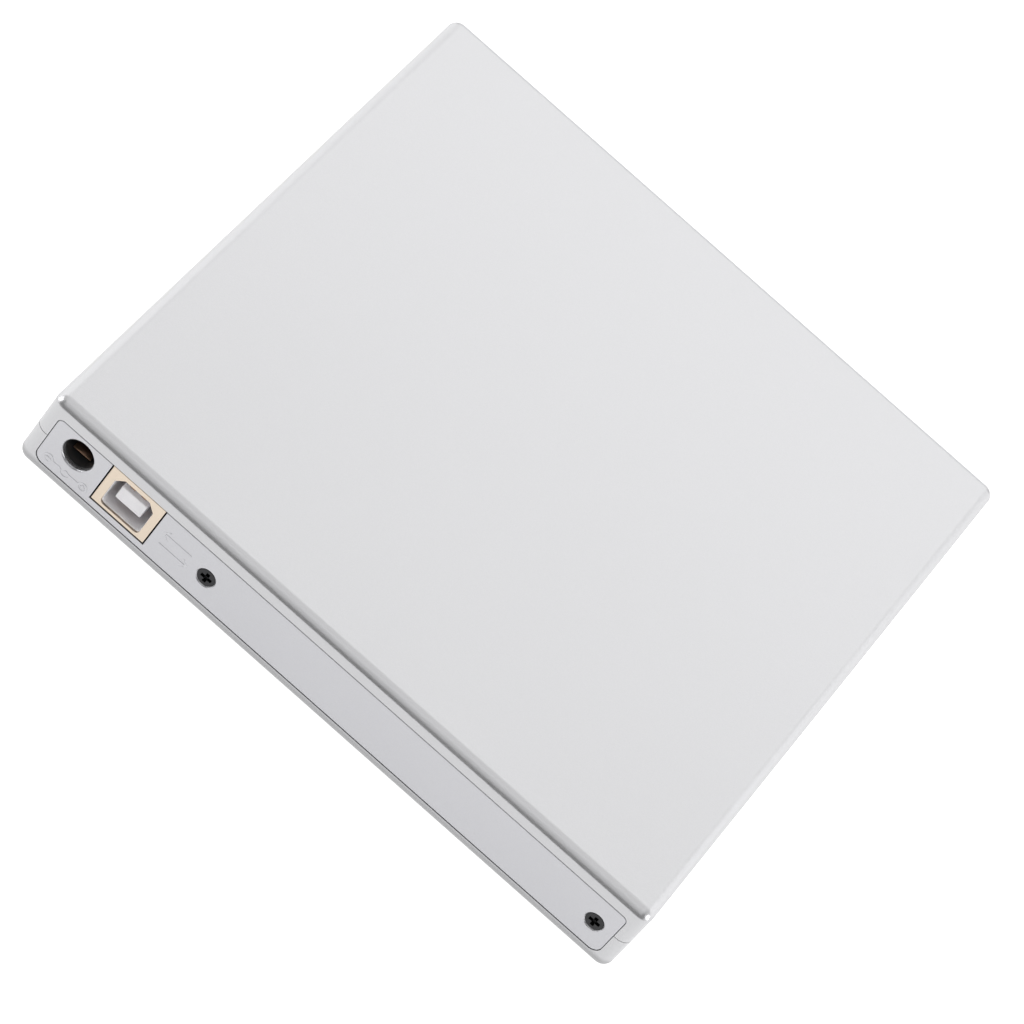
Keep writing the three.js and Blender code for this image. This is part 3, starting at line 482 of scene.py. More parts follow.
plate_edge = 0.25 * MM
mark_height = 0.07 * MM
mark_line = 0.34 * MM
mark_edge = 0.04 * MM
mark_root = 0.1 * MM
polarity_height = 5.9 * MM
data_mark_place = (35.6 * MM, 9.6 * MM)
sink_start = 0.4 * MM
sink_radius = 2.15 * MM
jack_middle = middle_of("jack_pin")
jack_hole = 3.6 * MM
jack_rim = 0.45 * MM
jack_collar = 3.8 * MM
collar_gap = 0.1 * MM
collar_front = plate_high.y - 1 * MM
socket_clearance = 0.25 * MM
face_level = plate_high.y - mark_height
least_radius = 0.001 * MM

plate_paint = silver_paint("plate silver paint", (0.51, 0.51, 0.53), 0.36)


def turned(name, centre, profile, axis="z", steps=64):
    """A closed solid of revolution from radius and height pairs, about a line along Z or Y."""
    loops = []
    for radius, level in profile:
        ring = circle(centre, max(radius, least_radius), steps)
        loops.append([(a, b, level) if axis == "z" else (a, level, b) for a, b in ring])
    return stack(name, loops)


outline = rounded_loop(
    (plate_low.x, plate_high.x), (plate_low.z, plate_high.z), plate_corner_low, plate_corner_high
)
plate = panel("rear_cover_plate", outline, (plate_low.y, face_level))
soften(plate, plate_edge, 4)
bore_middle = (jack_middle.x, jack_middle.z)
jack_profile = (
    [(jack_hole - jack_rim, plate_low.y - past)]
    + arc((jack_hole, face_level - jack_rim), jack_rim, 2, 1, 6)
    + [(jack_hole, plate_high.y + past)]
)
carve(
    plate,
    block(
        "socket notch", (can_low.x - socket_clearance, can_high.x + socket_clearance),
        (plate_low.y - past, plate_high.y + past), (can_low.z - socket_clearance, plate_high.z + past),
    ),
    turned("jack hole", bore_middle, jack_profile, "y"),
    panel(
        "collar seat", circle(bore_middle, jack_collar + collar_gap),
        (plate_low.y - past, collar_front + collar_gap),
    ),
)
for name in rear_screws:
    middle = middle_of(name)
    sink_profile = [
        (screw_bore, plate_low.y - past), (screw_bore, plate_low.y + sink_start), (sink_radius, plate_high.y),
    ]
    carve(plate, turned("countersink", (middle.x, middle.z), sink_profile, "y", 48))

mark_depth = (face_level - mark_root, plate_high.y)


def mark_bar(start, end):
    """A raised bar from one point to another, across the plate or at a slant."""
    along = (Vector(end) - Vector(start)).normalized()
    side = Vector((along.y, -along.x)) * (mark_line / 2)
    corners = [Vector(start) - side, Vector(start) + side, Vector(end) + side, Vector(end) - side]
    return panel("mark", [tuple(corner) for corner in corners], mark_depth)


def mark_ring(x, z, radius, start=0, end=4):
    """A raised ring, or a part of one, measured in quarter turns."""
    steps = 10 * (end - start)
    outer = arc((x, z), radius, start, end, steps)
    inner = arc((x, z), radius - mark_line, start, end, steps)[::-1]
    if end - start < 4:
        return panel("mark", outer + inner, mark_depth)
    return carve(panel("mark", outer[:-1], mark_depth), panel("bore", inner[1:], (0, 1)))


def polarity_mark(x, z):
    """A jack's usual mark: a dot in an open arc, with a minus and a plus in rings."""
    far = 3.9 * MM
    half = 0.5 * MM
    sign_radius = 1.05 * MM
    line_end = 2.9 * MM
    arc_radius = 1.3 * MM
    dot_radius = 0.45 * MM
    dot_root = 0.3 * MM
    arc_root = 1.2 * MM
    return [
        mark_ring(x + far, z, sign_radius),
        mark_bar((x + far - half, z), (x + far + half, z)),
        mark_bar((x + arc_root, z), (x + line_end, z)),
        mark_ring(x, z, arc_radius, 2, 4),
        panel("mark", circle((x, z), dot_radius, 24), mark_depth),
        mark_bar((x - line_end, z), (x - dot_root, z)),
        mark_ring(x - far, z, sign_radius),
        mark_bar((x - far - half, z), (x - far + half, z)),
        mark_bar((x - far, z - half), (x - far, z + half)),
    ]


def data_mark(x, z):
    """A plain pair of arrows, one each way, for the data socket."""
    half_gap = 1.4 * MM
    tail_reach = 3 * MM
    tip_reach = 3.4 * MM
    barb_back = 1.3 * MM
    barb_rise = 1.1 * MM
    marks = []
    for side in (1, -1):
        level = z + side * half_gap
        tip = x + side * tip_reach
        marks.append(mark_bar((x - side * tail_reach, level), (tip, level)))
        for slope in (1, -1):
            barb = (tip - side * barb_back, level + slope * barb_rise)
            marks.append(mark_bar(barb, (tip, level)))
    return marks


for mark in polarity_mark(jack_middle.x, polarity_height) + data_mark(*data_mark_place):
    fuse(plate, mark)
soften(plate, mark_edge, 2, 50)
complete(plate, "enclosure", ["rear_plate"], plate_paint)


# ------------------------------------------------------------------ data socket
# A folded steel can with a warm nickel finish holds a white nylon block. The block's tongue
# carries two pairs of copper strips, and the can's square front closes the notch in the plate.

can_sheet = 0.3 * MM
flange_depth = 0.4 * MM
flange_edge = 0.18 * MM
folded_edge = 0.06 * MM
mouth_width = 8.45 * MM
mouth_height = 7.78 * MM
mouth_chamfer = 1.6 * MM
mouth_round = 0.9 * MM
mouth_drop = 0.15 * MM
mouth_middle = (can_low.z + can_high.z) / 2 - mouth_drop
can_mouth_grow = 0.15 * MM
nylon_mouth_grow = 0.05 * MM
socket_x = (can_low.x + can_high.x) / 2
block_low, block_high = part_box("socket_insulator")
sleeve_gap = 0.15 * MM
sleeve_inset = 0.05 * MM
nylon_back_wall = 1.5 * MM
nylon_edge = 0.2 * MM
tongue_root = 1 * MM
tongue_width = 5.7 * MM
tongue_height = 3.3 * MM
tongue_corner = 0.25 * MM
strip_edge = 0.1 * MM


def brushed_metal(name, colour, roughness, stretch=(1, 1, 20), wear=0.12):
    """Bare or plated metal with fine rolling lines, finer across than along."""
    material, shader, place = new_material(name, {"Metallic": 1.0})
    scale = tuple(1 / factor for factor in stretch)
    along = place.node("ShaderNodeMapping", None, {"Vector": place, "Scale": scale})
    lines = noise(along, 0.25 * MM, 4.0)
    stain = noise(place, 5 * MM, 3.0)
    tone = lines * 0.6 + stain * 0.4
    feed(shader, "Base Color", tone.between(shade(colour, 1 - wear), shade(colour, 1 + wear / 2)))
    feed(shader, "Roughness", lines * 0.14 + (stain * 0.1 + (roughness - 0.12)))
    raise_surface(shader, lines, 0.004 * MM)
    return material


def moulded_plastic(name, colour, roughness, grain=0.12 * MM, depth=0.01 * MM, steady=None):
    """Moulded plastic with a fine even texture from the tool and faint flow clouds."""
    material, shader, place = new_material(name, steady or {})
    texture = noise(place, grain, 3.0)
    clouds = noise(place, 12 * MM)
    tone = texture * 0.4 + clouds * 0.6
    feed(shader, "Base Color", tone.between(shade(colour, 0.93), shade(colour, 1.06)))
    feed(shader, "Roughness", texture * 0.12 + (roughness - 0.06))
    raise_surface(shader, texture, depth)
    return material


def socket_mouth(grow):
    """Square below with small rounds, and its two upper corners cut off."""
    half = mouth_width / 2 + grow
    low = mouth_middle - mouth_height / 2 - grow
    high = mouth_middle + mouth_height / 2 + grow
    return (
        arc((socket_x + half - mouth_round, low + mouth_round), mouth_round, -1, 0, 6)
        + [(socket_x + half, high - mouth_chamfer), (socket_x + half - mouth_chamfer, high)]
        + [(socket_x - half + mouth_chamfer, high), (socket_x - half, high - mouth_chamfer)]
        + arc((socket_x - half + mouth_round, low + mouth_round), mouth_round, 2, 3, 6)
    )


nickel = brushed_metal("socket nickel", (0.64, 0.55, 0.45), 0.34)
nylon = moulded_plastic("socket nylon", (0.86, 0.85, 0.87), 0.4, 0.3 * MM, 0.004 * MM)
copper = brushed_metal("contact copper", (0.62, 0.4, 0.28), 0.45, (1, 12, 1))

can_front = can_high.y - flange_depth
can = block("socket_can_shell", (can_low.x, can_high.x), (can_front, can_high.y), (can_low.z, can_high.z))
soften(can, flange_edge, 3)
sleeve_x = (block_low.x - can_sheet - sleeve_gap, block_high.x + can_sheet + sleeve_gap)
sleeve_z = (can_low.z + sleeve_inset, can_high.z - sleeve_inset)
fuse(can, block("sleeve", sleeve_x, (can_low.y, can_front + flange_depth / 2), sleeve_z))
inside_y = (can_low.y + can_sheet, can_front - can_sheet / 3)
inside_z = (sleeve_z[0] + can_sheet, sleeve_z[1] - can_sheet)
carve(
    can,
    block("inside", (sleeve_x[0] + can_sheet, sleeve_x[1] - can_sheet), inside_y, inside_z),
    panel("mouth", socket_mouth(can_mouth_grow), (can_front - past, can_high.y + past)),
)
soften(can, folded_edge, 2, 50)
complete(can, "enclosure", ["socket_can"], nickel)

insulator = block(
    "socket_nylon_block", (block_low.x, block_high.x),
    (block_low.y, can_front - resting_gap), (block_low.z, block_high.z),
)
nylon_mouth = socket_mouth(nylon_mouth_grow)
carve(insulator, panel("mouth", nylon_mouth, (block_low.y + nylon_back_wall, can_high.y)))
soften(insulator, nylon_edge, 3, 50)
tongue_spans = around(socket_x, tongue_width), around(mouth_middle, tongue_height)
tongue_loop = rounded_loop(*tongue_spans, tongue_corner)
tongue = panel("tongue", tongue_loop, (block_low.y + tongue_root, block_high.y))
fuse(insulator, soften(tongue, nylon_edge, 3, 60))
complete(insulator, "enclosure", ["socket_insulator"], nylon)

for row in ("upper", "lower"):
    for side in SIDES:
        node = f"socket_contact_{row}_{side}"
        low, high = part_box(node)
        strip = block(f"{node}_strip", (low.x, high.x), (low.y, high.y), (low.z, high.z))
        soften(strip, strip_edge, 3)
        complete(strip, "enclosure", [node], copper)


# ------------------------------------------------------------------ power jack
# A black moulded block on the board behind the plate's round hole. A polished pin stands in the
# middle of its bore, and a copper leaf below it presses on the plug's barrel.

jack_block_edge = 0.25 * MM
bore_radius = 3.15 * MM
bore_back = 60.5 * MM
bore_flare = 0.25 * MM
flare_depth = 0.2 * MM
pin_hole_radius = 1.3 * MM
pin_low, pin_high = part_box("jack_pin")
pin_radius = (pin_high.x - pin_low.x) / 2
pin_tip = 0.7 * MM
leaf_low, leaf_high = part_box("jack_spring")
leaf_sheet = 0.3 * MM
leaf_edge = 0.05 * MM
leaf_places = [
    (leaf_low.y, 0), (63 * MM, 0.6), (65 * MM, 1), (68.2 * MM, 1), (68.9 * MM, 0.8), (69.3 * MM, 0),
]

black_plastic = moulded_plastic("black plastic", (0.022, 0.022, 0.024), 0.42)
jack_plastic = moulded_plastic("jack plastic", (0.05, 0.05, 0.052), 0.38)
steel = brushed_metal("zinc plated steel", (0.62, 0.63, 0.65), 0.3, (1, 14, 1))
polished = brushed_metal("polished steel", (0.7, 0.7, 0.72), 0.16, (1, 30, 1), 0.05)


housing = block("jack_block", (jack_low.x, jack_high.x), (jack_low.y, jack_high.y), (jack_low.z, jack_high.z))
soften(housing, jack_block_edge, 3)
collar_profile = [(jack_collar, jack_high.y - past), (jack_collar, collar_front)]
fuse(housing, turned("collar", bore_middle, collar_profile, "y"))
bore_profile = [
    (bore_radius, bore_back), (bore_radius, collar_front - flare_depth),
    (bore_radius + bore_flare, collar_front + bore_flare - flare_depth),
]
pin_hole_profile = [(pin_hole_radius, jack_low.y - past), (pin_hole_radius, bore_back + past)]
carve(
    housing, turned("bore", bore_middle, bore_profile, "y"),
    turned("pin hole", bore_middle, pin_hole_profile, "y", 32),
)
complete(housing, "enclosure", ["jack_housing"], jack_plastic)

pin_profile = [(0, pin_low.y), (pin_radius, pin_low.y), (pin_radius, pin_high.y - pin_tip)]
pin_profile += [
    (pin_radius * reach, pin_high.y - pin_tip * (1 - rise)) for reach, rise in arc((0, 0), 1, 0, 1, 6)[1:]
]
pin = turned("jack_centre_pin", bore_middle, pin_profile, "y", 32)
complete(pin, "enclosure", ["jack_pin"], polished)

leaf_rise = leaf_high.z - leaf_low.z - leaf_sheet
under = [(y, leaf_low.z + leaf_rise * rise) for y, rise in leaf_places]
over = [(y, z + leaf_sheet) for y, z in reversed(under)]
leaf = stack("jack_leaf", [[(x, y, z) for y, z in under + over] for x in (leaf_low.x, leaf_high.x)])
soften(leaf, leaf_edge, 2, 60)
complete(leaf, "enclosure", ["jack_spring"], copper)


# ------------------------------------------------------------------ bridge board
# A green circuit board behind the drive turns the drive's own plug into the data socket. It
# carries a square chip with legs on all sides, a crystal, two can capacitors and a connector.

board_edge = 0.08 * MM
small_part_edge = 0.12 * MM
connector_edge = 0.1 * MM
crystal_edge = 0.15 * MM
leg_reach = 0.9 * MM
leg_sheet = 0.15 * MM
leg_margin = 0.8 * MM
leg_rise = 0.35 * MM
connector_pins = 20
pin_pitch = 1.27 * MM
pin_size = (0.4 * MM, 0.5 * MM, 1.8 * MM)
pin_inset = (1.9 * MM, 0.8 * MM)
can_foot_and_groove = [(0.2, 0), (0, 0.2), (0, 0.9), (0.25, 1.2), (0, 1.5)]  # in from the side, up
can_shoulder = [(0, 0.35), (0.12, 0.1), (0.35, 0), (0.6, 0.12)]  # in from the side, down


def circuit_board(name):
    """Green solder resist over faint straight traces, with small tinned spots."""
    material, shader, place = new_material(name, {"Coat Weight": 0.4, "Coat Roughness": 0.15})
    traces = place.node(
        "ShaderNodeTexBrick", {"offset": 0.35, "squash": 0.6},
        {"Vector": place, "Scale": 1 / (3 * MM), "Mortar Size": 0.05, "Mortar Smooth": 0.1},
        "Fac",
    )
    spots = place.node("ShaderNodeTexVoronoi", None, {"Vector": place, "Scale": 1 / (2.6 * MM)}) < 0.13
    green = (traces * 0.8).between((0.012, 0.1, 0.045, 1), (0.02, 0.17, 0.07, 1))
    feed(shader, "Base Color", spots.between(green, (0.6, 0.58, 0.52, 1)))
    feed(shader, "Metallic", spots * 0.9)
    feed(shader, "Roughness", 0.38 - spots * 0.1)
    raise_surface(shader, traces * 0.5 + spots * 0.5, 0.03 * MM)
    return material


def cad_copy(name, node):
    """A copy of a CAD node's shape, with its doubled points merged."""
    piece = bpy.data.objects.new(name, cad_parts[node].data.copy())
    bpy.context.collection.objects.link(piece)
    return clean(piece, doubled_points)


def refined(name, node, width, segments=2, angle=40):
    """A copy of a CAD node's shape with its edges rounded."""
    return soften(cad_copy(name, node), width, segments, angle)


def start_tree(name, **kinds):
    """A new geometry tree: its named inputs, by kind of socket, and a place to add nodes from."""
    tree = bpy.data.node_groups.new(name, "GeometryNodeTree")
    tree.interface.new_socket("Geometry", in_out="INPUT", socket_type="NodeSocketGeometry")
    for kind, titles in kinds.items():
        for title in titles:
            tree.interface.new_socket(title, in_out="INPUT", socket_type=f"NodeSocket{kind}")
    tree.interface.new_socket("Material", in_out="INPUT", socket_type="NodeSocketMaterial")
    tree.interface.new_socket("Geometry", in_out="OUTPUT", socket_type="NodeSocketGeometry")
    base = Wire(tree)
    given = base.node("NodeGroupInput")
    return base, {socket.name: Wire(tree, socket) for socket in given.socket.node.outputs}


def finish_tree(shape, entry):
    """Puts a shape at each given point, as real geometry that carries its material."""
    points = entry["Geometry"]
    placed = shape.node("GeometryNodeInstanceOnPoints", None, {"Points": points, "Instance": shape})
    solid = placed.node("GeometryNodeRealizeInstances", None, {"Geometry": placed})
    coated = solid.node("GeometryNodeSetMaterial", None, {"Geometry": solid, "Material": entry["Material"]})
    coated.node("NodeGroupOutput", None, {"Geometry": coated})
    return shape.tree


def bar_row(name):
    """Geometry Nodes: a straight row of like bars, such as legs, pins or ribs, at each point."""
    base, entry = start_tree(name, Vector=("Bar Size", "Step"), Int=("Count",))
    bar = base.node("GeometryNodeMeshCube", None, {"Size": entry["Bar Size"]})
    line = base.node(
        "GeometryNodeMeshLine", {"mode": "OFFSET"},
        {"Count": entry["Count"], "Start Location": (0, 0, 0), "Offset": entry["Step"]},
    )
    row = base.node("GeometryNodeInstanceOnPoints", None, {"Points": line, "Instance": bar})
    return finish_tree(row, entry)


def grow(name, tree, places, values, rounding=0.0):
    """Runs a geometry tree at some places and keeps the result as plain mesh."""
    piece = mesh_piece(name, places, [])
    modifier = piece.modifiers.new("tree", "NODES")
    modifier.node_group = tree
    for socket in tree.interface.items_tree:
        if socket.in_out == "INPUT" and socket.name in values:
            modifier[socket.identifier] = values[socket.name]
    if rounding:
        edge = piece.modifiers.new("rounding", "BEVEL")
        edge.width = rounding
        edge.segments = 2
        edge.limit_method = "ANGLE"
    return settle(piece)


def adopt(piece, body, nodes, material):
    """Finishes a piece that comes from a geometry tree."""
    clean(piece)
    return complete(piece, body, nodes, material)


row_tree = bar_row("row of bars")
board_green = circuit_board("green circuit board")
epoxy = moulded_plastic("chip epoxy", (0.018, 0.018, 0.02), 0.55, 0.08 * MM)
tinned = brushed_metal("tinned leads", (0.72, 0.72, 0.7), 0.3, (1, 1, 1))
can_aluminium = brushed_metal("capacitor aluminium", (0.6, 0.65, 0.7), 0.28, (1, 1, 16))

board = refined("bridge_circuit_board", "bridge_board", board_edge)
complete(board, "enclosure", ["bridge_board"], board_green)


def add_row(name, body, material, start, step, count, size, rounding=0.04 * MM):
    """A row of small bars that belongs to a bigger piece and rides with it."""
    values = {"Bar Size": size, "Step": step, "Count": count, "Material": material}
    piece = grow(name, row_tree, [start], values, rounding)
    clean(piece)
    piece.data.shade_smooth()
    piece.data.set_sharp_from_angle(angle=math.radians(35))
    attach(piece, body)
    return piece


def chip(name, node, body, face_down, legs):
    """A flat square chip whose legs come out of all four sides and meet its board."""
    low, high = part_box(node)
    piece = refined(name, node, small_part_edge)
    complete(piece, body, [node], epoxy)
    pitch = (high.x - low.x - 2 * leg_margin) / (legs - 1)
    level = high.z - leg_rise if face_down else low.z + leg_rise
    first = (low.x + leg_margin, low.y + leg_margin)
    for side, y in (("low_y", low.y - leg_reach / 2), ("high_y", high.y + leg_reach / 2)):
        start = (first[0], y, level)
        size = (pitch / 2, leg_reach, leg_sheet)
        add_row(f"{name}_legs_{side}", body, tinned, start, (pitch, 0, 0), legs, size)
    for side, x in (("low_x", low.x - leg_reach / 2), ("high_x", high.x + leg_reach / 2)):
        start = (x, first[1], level)
        size = (leg_reach, pitch / 2, leg_sheet)
        add_row(f"{name}_legs_{side}", body, tinned, start, (0, pitch, 0), legs, size)


chip("bridge_chip_body", "bridge_chip", "enclosure", False, 12)

crystal = refined("crystal_can_body", "crystal_can", crystal_edge, 2, 30)
complete(crystal, "enclosure", ["crystal_can"], steel)

for node in ("capacitor_front", "capacitor_rear"):
    low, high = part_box(node)
    radius = (high.x - low.x) / 2
    middle = middle_of(node)
    from_foot = [(radius, 0)] + [(inset * MM, rise * MM) for inset, rise in can_foot_and_groove]
    from_top = [(inset * MM, -drop * MM) for inset, drop in can_shoulder]
    from_top.append((radius, from_top[-1][1]))
    profile = [(radius - inset, low.z + rise) for inset, rise in from_foot]
    profile += [(radius - inset, high.z + rise) for inset, rise in from_top]
    capacitor = turned(f"{node}_can", (middle.x, middle.y), profile, "z", 40)
    complete(capacitor, "enclosure", [node], can_aluminium)

for node in ("board_connector", "drive_connector"):
    low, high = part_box(node)
    shell = refined(f"{node}_block", node, connector_edge)
    complete(shell, "enclosure", [node], black_plastic)
    first_pin = (low.x + pin_inset[0], low.y + pin_inset[1], middle_of(node).z)
    add_row(
        f"{node}_pins", "enclosure", tinned,
        first_pin, (pin_pitch, 0, 0), connector_pins, pin_size,
    )


# ------------------------------------------------------------------ screws
# Cross-head screws: two black ones hold the rear plate, and four plated ones go up through the
# base into the drive. Each has a flat face, a thin rim, a tapered head and a plain shank.

screw_rim = 0.12 * MM
screw_edge = 0.04 * MM


def cross_screw(name):
    """Geometry Nodes: one screw at each given point, turned to its direction."""
    sizes = ("Head Radius", "Head Depth", "Shank Radius", "Length", "Slot Length", "Slot Width", "Slot Depth")
    base, entry = start_tree(name, Float=sizes, Vector=("Turn",))

    def vector(x, y, z):
        return base.node("ShaderNodeCombineXYZ", None, {"X": x, "Y": y, "Z": z})

    def cone(top, bottom, depth, level):
        sizes = {"Vertices": 40, "Radius Top": top, "Radius Bottom": bottom, "Depth": depth}
        solid = base.node("GeometryNodeMeshCone", None, sizes)
        place = vector(0, 0, level)
        return base.node("GeometryNodeTransform", None, {"Geometry": solid, "Translation": place})

    head = entry["Head Radius"]
    head_depth = entry["Head Depth"]
    shank = entry["Shank Radius"] * 0.99
    length = entry["Length"]
    solids = [
        cone(head - screw_rim, head, screw_rim, -screw_rim),
        cone(head, entry["Shank Radius"], head_depth, -(head_depth + screw_rim)),
        cone(shank, shank, length, -length - 2 * screw_rim),
    ]
    body = base.node("GeometryNodeMeshBoolean", {"operation": "UNION"}, {"Mesh 2": solids})
    slot_length, slot_width = entry["Slot Length"], entry["Slot Width"]
    slots = [
        base.node("GeometryNodeMeshCube", None, {"Size": vector(a, b, entry["Slot Depth"] * 2)})
        for a, b in ((slot_length, slot_width), (slot_width, slot_length))
    ]
    screw = base.node(
        "GeometryNodeMeshBoolean", {"operation": "DIFFERENCE", "solver": "EXACT"},
        {"Mesh 1": body, "Mesh 2": slots, "Self Intersection": True},
    )
    screw = base.node("GeometryNodeTransform", None, {"Geometry": screw, "Rotation": entry["Turn"]})
    return finish_tree(screw, entry)


screw_tree = cross_screw("cross head screw")
black_oxide = brushed_metal("black oxide", (0.045, 0.045, 0.047), 0.36, (1, 1, 1), 0.4)
rear_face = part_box(rear_screws[0])[1].y
rear_places = [(middle_of(name).x, rear_face, middle_of(name).z) for name in rear_screws]
rear_set = {
    "Head Radius": 1.9 * MM, "Head Depth": 0.95 * MM, "Shank Radius": 0.8 * MM, "Length": 6.2 * MM,
    "Slot Length": 2.3 * MM, "Slot Width": 0.75 * MM, "Slot Depth": 0.75 * MM,
    "Turn": (-math.pi / 2, 0, 0), "Material": black_oxide,
}
plate_screws = grow("rear_plate_screws", screw_tree, rear_places, rear_set, screw_edge)
adopt(plate_screws, "enclosure", rear_screws, black_oxide)

base_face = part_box(base_screws[0])[0].z
base_places = [(middle_of(name).x, middle_of(name).y, base_face) for name in base_screws]
base_set = {
    "Head Radius": 1.75 * MM, "Head Depth": 0.6 * MM, "Shank Radius": 0.8 * MM, "Length": 3 * MM,
    "Slot Length": 2 * MM, "Slot Width": 0.5 * MM, "Slot Depth": 0.5 * MM,
    "Turn": (math.pi, 0, 0), "Material": steel,
}
drive_screws = grow("drive_mounting_screws", screw_tree, base_places, base_set, screw_edge)
adopt(drive_screws, "enclosure", base_screws, steel)


# ------------------------------------------------------------------ feet
# Four round pads of dark rubber, glued into shallow seats in the base. Each has a rounded rim
# and a slightly hollow underside.

foot_edge = 0.15 * MM


def rubber(name, colour):
    """Matte rubber with a fine pebbled skin and a little dust in it."""
    material, shader, place = new_material(name, {"Specular IOR Level": 0.3})
    pebbles = noise(place, 0.25 * MM, 3.0)
    dust = noise(place, 3 * MM, 4.0)
    tone = dust * 0.6 + pebbles * 0.4
    feed(shader, "Base Color", tone.between(shade(colour, 0.8), shade(colour, 1.4)))
    feed(shader, "Roughness", dust * 0.15 + 0.72)
    raise_surface(shader, pebbles, 0.03 * MM)
    return material


def round_pads(name):
    """Geometry Nodes: a round pad at each point, hollowed underneath."""
    base, entry = start_tree(name, Float=("Radius", "Height", "Hollow Radius", "Hollow Depth"))

    def disc(radius, depth):
        sizes = {"Vertices": 72, "Radius": radius, "Depth": depth}
        return base.node("GeometryNodeMeshCylinder", None, sizes)

    lift = base.node("ShaderNodeCombineXYZ", None, {"Z": entry["Height"] * 0.5})
    full = disc(entry["Radius"], entry["Height"])
    full = base.node("GeometryNodeTransform", None, {"Geometry": full, "Translation": lift})
    hollow = disc(entry["Hollow Radius"], entry["Hollow Depth"] * 2)
    pad = base.node(
        "GeometryNodeMeshBoolean", {"operation": "DIFFERENCE"}, {"Mesh 1": full, "Mesh 2": hollow}
    )
    return finish_tree(pad, entry)


foot_rubber = rubber("dark rubber", (0.024, 0.024, 0.025))
foot_low, foot_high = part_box(feet[0])
pad_places = [(middle_of(name).x, middle_of(name).y, foot_low.z) for name in feet]
pad_set = {
    "Radius": (foot_high.x - foot_low.x) / 2, "Height": foot_high.z - foot_low.z,
    "Hollow Radius": 3.4 * MM, "Hollow Depth": 0.2 * MM, "Material": foot_rubber,
}
pads = grow("rubber_feet", round_pads("rubber foot"), pad_places, pad_set, foot_edge)
adopt(pads, "enclosure", feet, foot_rubber)


# ------------------------------------------------------------------ drive casing and rails
# The drive's own casing is folded zinc-plated sheet: a pan below and a lid above. Plastic guides
# lie along its sides, and a steel channel on each side runs between the pan and the tray.

sheet_edge = 0.1 * MM
guide_edge = 0.15 * MM
cable_edge = 0.05 * MM
channel_edge = 0.08 * MM
catch_tip = 0.3 * MM


def plated_sheet(name, colour):
    """Zinc plating: soft crystals that differ a little in tone and shine."""
    material, shader, place = new_material(name, {"Metallic": 1.0})
    crystals = grains(place, 1.6 * MM)
    haze = noise(place, 8 * MM, 4.0)
    tone = crystals * 0.5 + haze * 0.5
    feed(shader, "Base Color", tone.between(shade(colour, 0.88), shade(colour, 1.05)))
    feed(shader, "Roughness", crystals * 0.1 + (haze * 0.16 + 0.2))
    raise_surface(shader, haze, 0.02 * MM)
    return material


sheet_zinc = plated_sheet("zinc sheet", (0.6, 0.61, 0.63))
guide_plastic = moulded_plastic("grey guide plastic", (0.16, 0.17, 0.18), 0.45)
pale_plastic = moulded_plastic("pale plastic", (0.68, 0.66, 0.58), 0.45)
fixed_pieces = [
    ("drive_pan_sheet", "drive_pan", sheet_edge, "zinc_steel", sheet_zinc),
    ("drive_lid_sheet", "drive_lid", sheet_edge, "zinc_steel", sheet_zinc),
    ("left_guide_strip", "rail_guide_left", guide_edge, "tray_plastic", guide_plastic),
    ("right_guide_strip", "rail_guide_right", guide_edge, "tray_plastic", guide_plastic),
    ("ribbon_cable", "flat_cable", cable_edge, "pale_plastic", pale_plastic),
]
for name, node, edge, slot, material in fixed_pieces:
    complete(refined(name, node, edge), "enclosure", [node], material)

low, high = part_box("latch_pin")
radius = (high.x - low.x) / 2
middle = middle_of("latch_pin")
catch_profile = [
    (0, low.z), (radius, low.z), (radius, high.z - catch_tip), (radius - catch_tip, high.z), (0, high.z),
]
catch_pin = turned("latch_catch_pin", (middle.x, middle.y), catch_profile, "z", 40)
complete(catch_pin, "enclosure", ["latch_pin"], polished)

for side in SIDES:
    rail = refined(f"{side}_steel_channel", f"slide_rail_{side}", channel_edge)
    complete(rail, f"{side}_rail", [f"slide_rail_{side}"], steel)


# ------------------------------------------------------------------ tray
# The tray is moulded in dark grey plastic. Its well takes a 120 mm disc, a second step takes an
# 80 mm one, and a slot shows the laser unit. A frame underneath carries what moves with the tray.

tray_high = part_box("tray")[1]
disc_middle = (0, middle_of("turntable").y)
well_radius = 60.4 * MM
well_floor = 12.2 * MM
small_disc_radius = 40.3 * MM
small_disc_depth = 0.35 * MM
well_lip = 0.5 * MM
step_round = 0.2 * MM
tray_edge = 0.12 * MM

tray_plastic = moulded_plastic("tray plastic", (0.035, 0.036, 0.04), 0.48, 0.16 * MM, 0.02 * MM)

tray = cad_copy("disc_tray", "tray")
well_profile = [
    (well_radius, well_floor), (well_radius, tray_high.z - well_lip),
    (well_radius + well_lip, tray_high.z + well_lip / 10), (well_radius + well_lip, tray_high.z + past),
]
step_profile = [
    (small_disc_radius - step_round, well_floor - small_disc_depth),
    (small_disc_radius, well_floor - small_disc_depth + step_round), (small_disc_radius, well_floor + past),
]
carve(
    tray,
    turned("well edge", disc_middle, well_profile, "z", 192),
    turned("small disc step", disc_middle, step_profile, "z", 128),
)
soften(tray, tray_edge)
complete(tray, "tray_unit", ["tray"], tray_plastic)


# ------------------------------------------------------------------ tray front
# A silver bezel clips to the tray and closes the case's front. It has a sprung eject button, a
# small window that lets the busy light through, and a pinhole for opening the tray by hand.

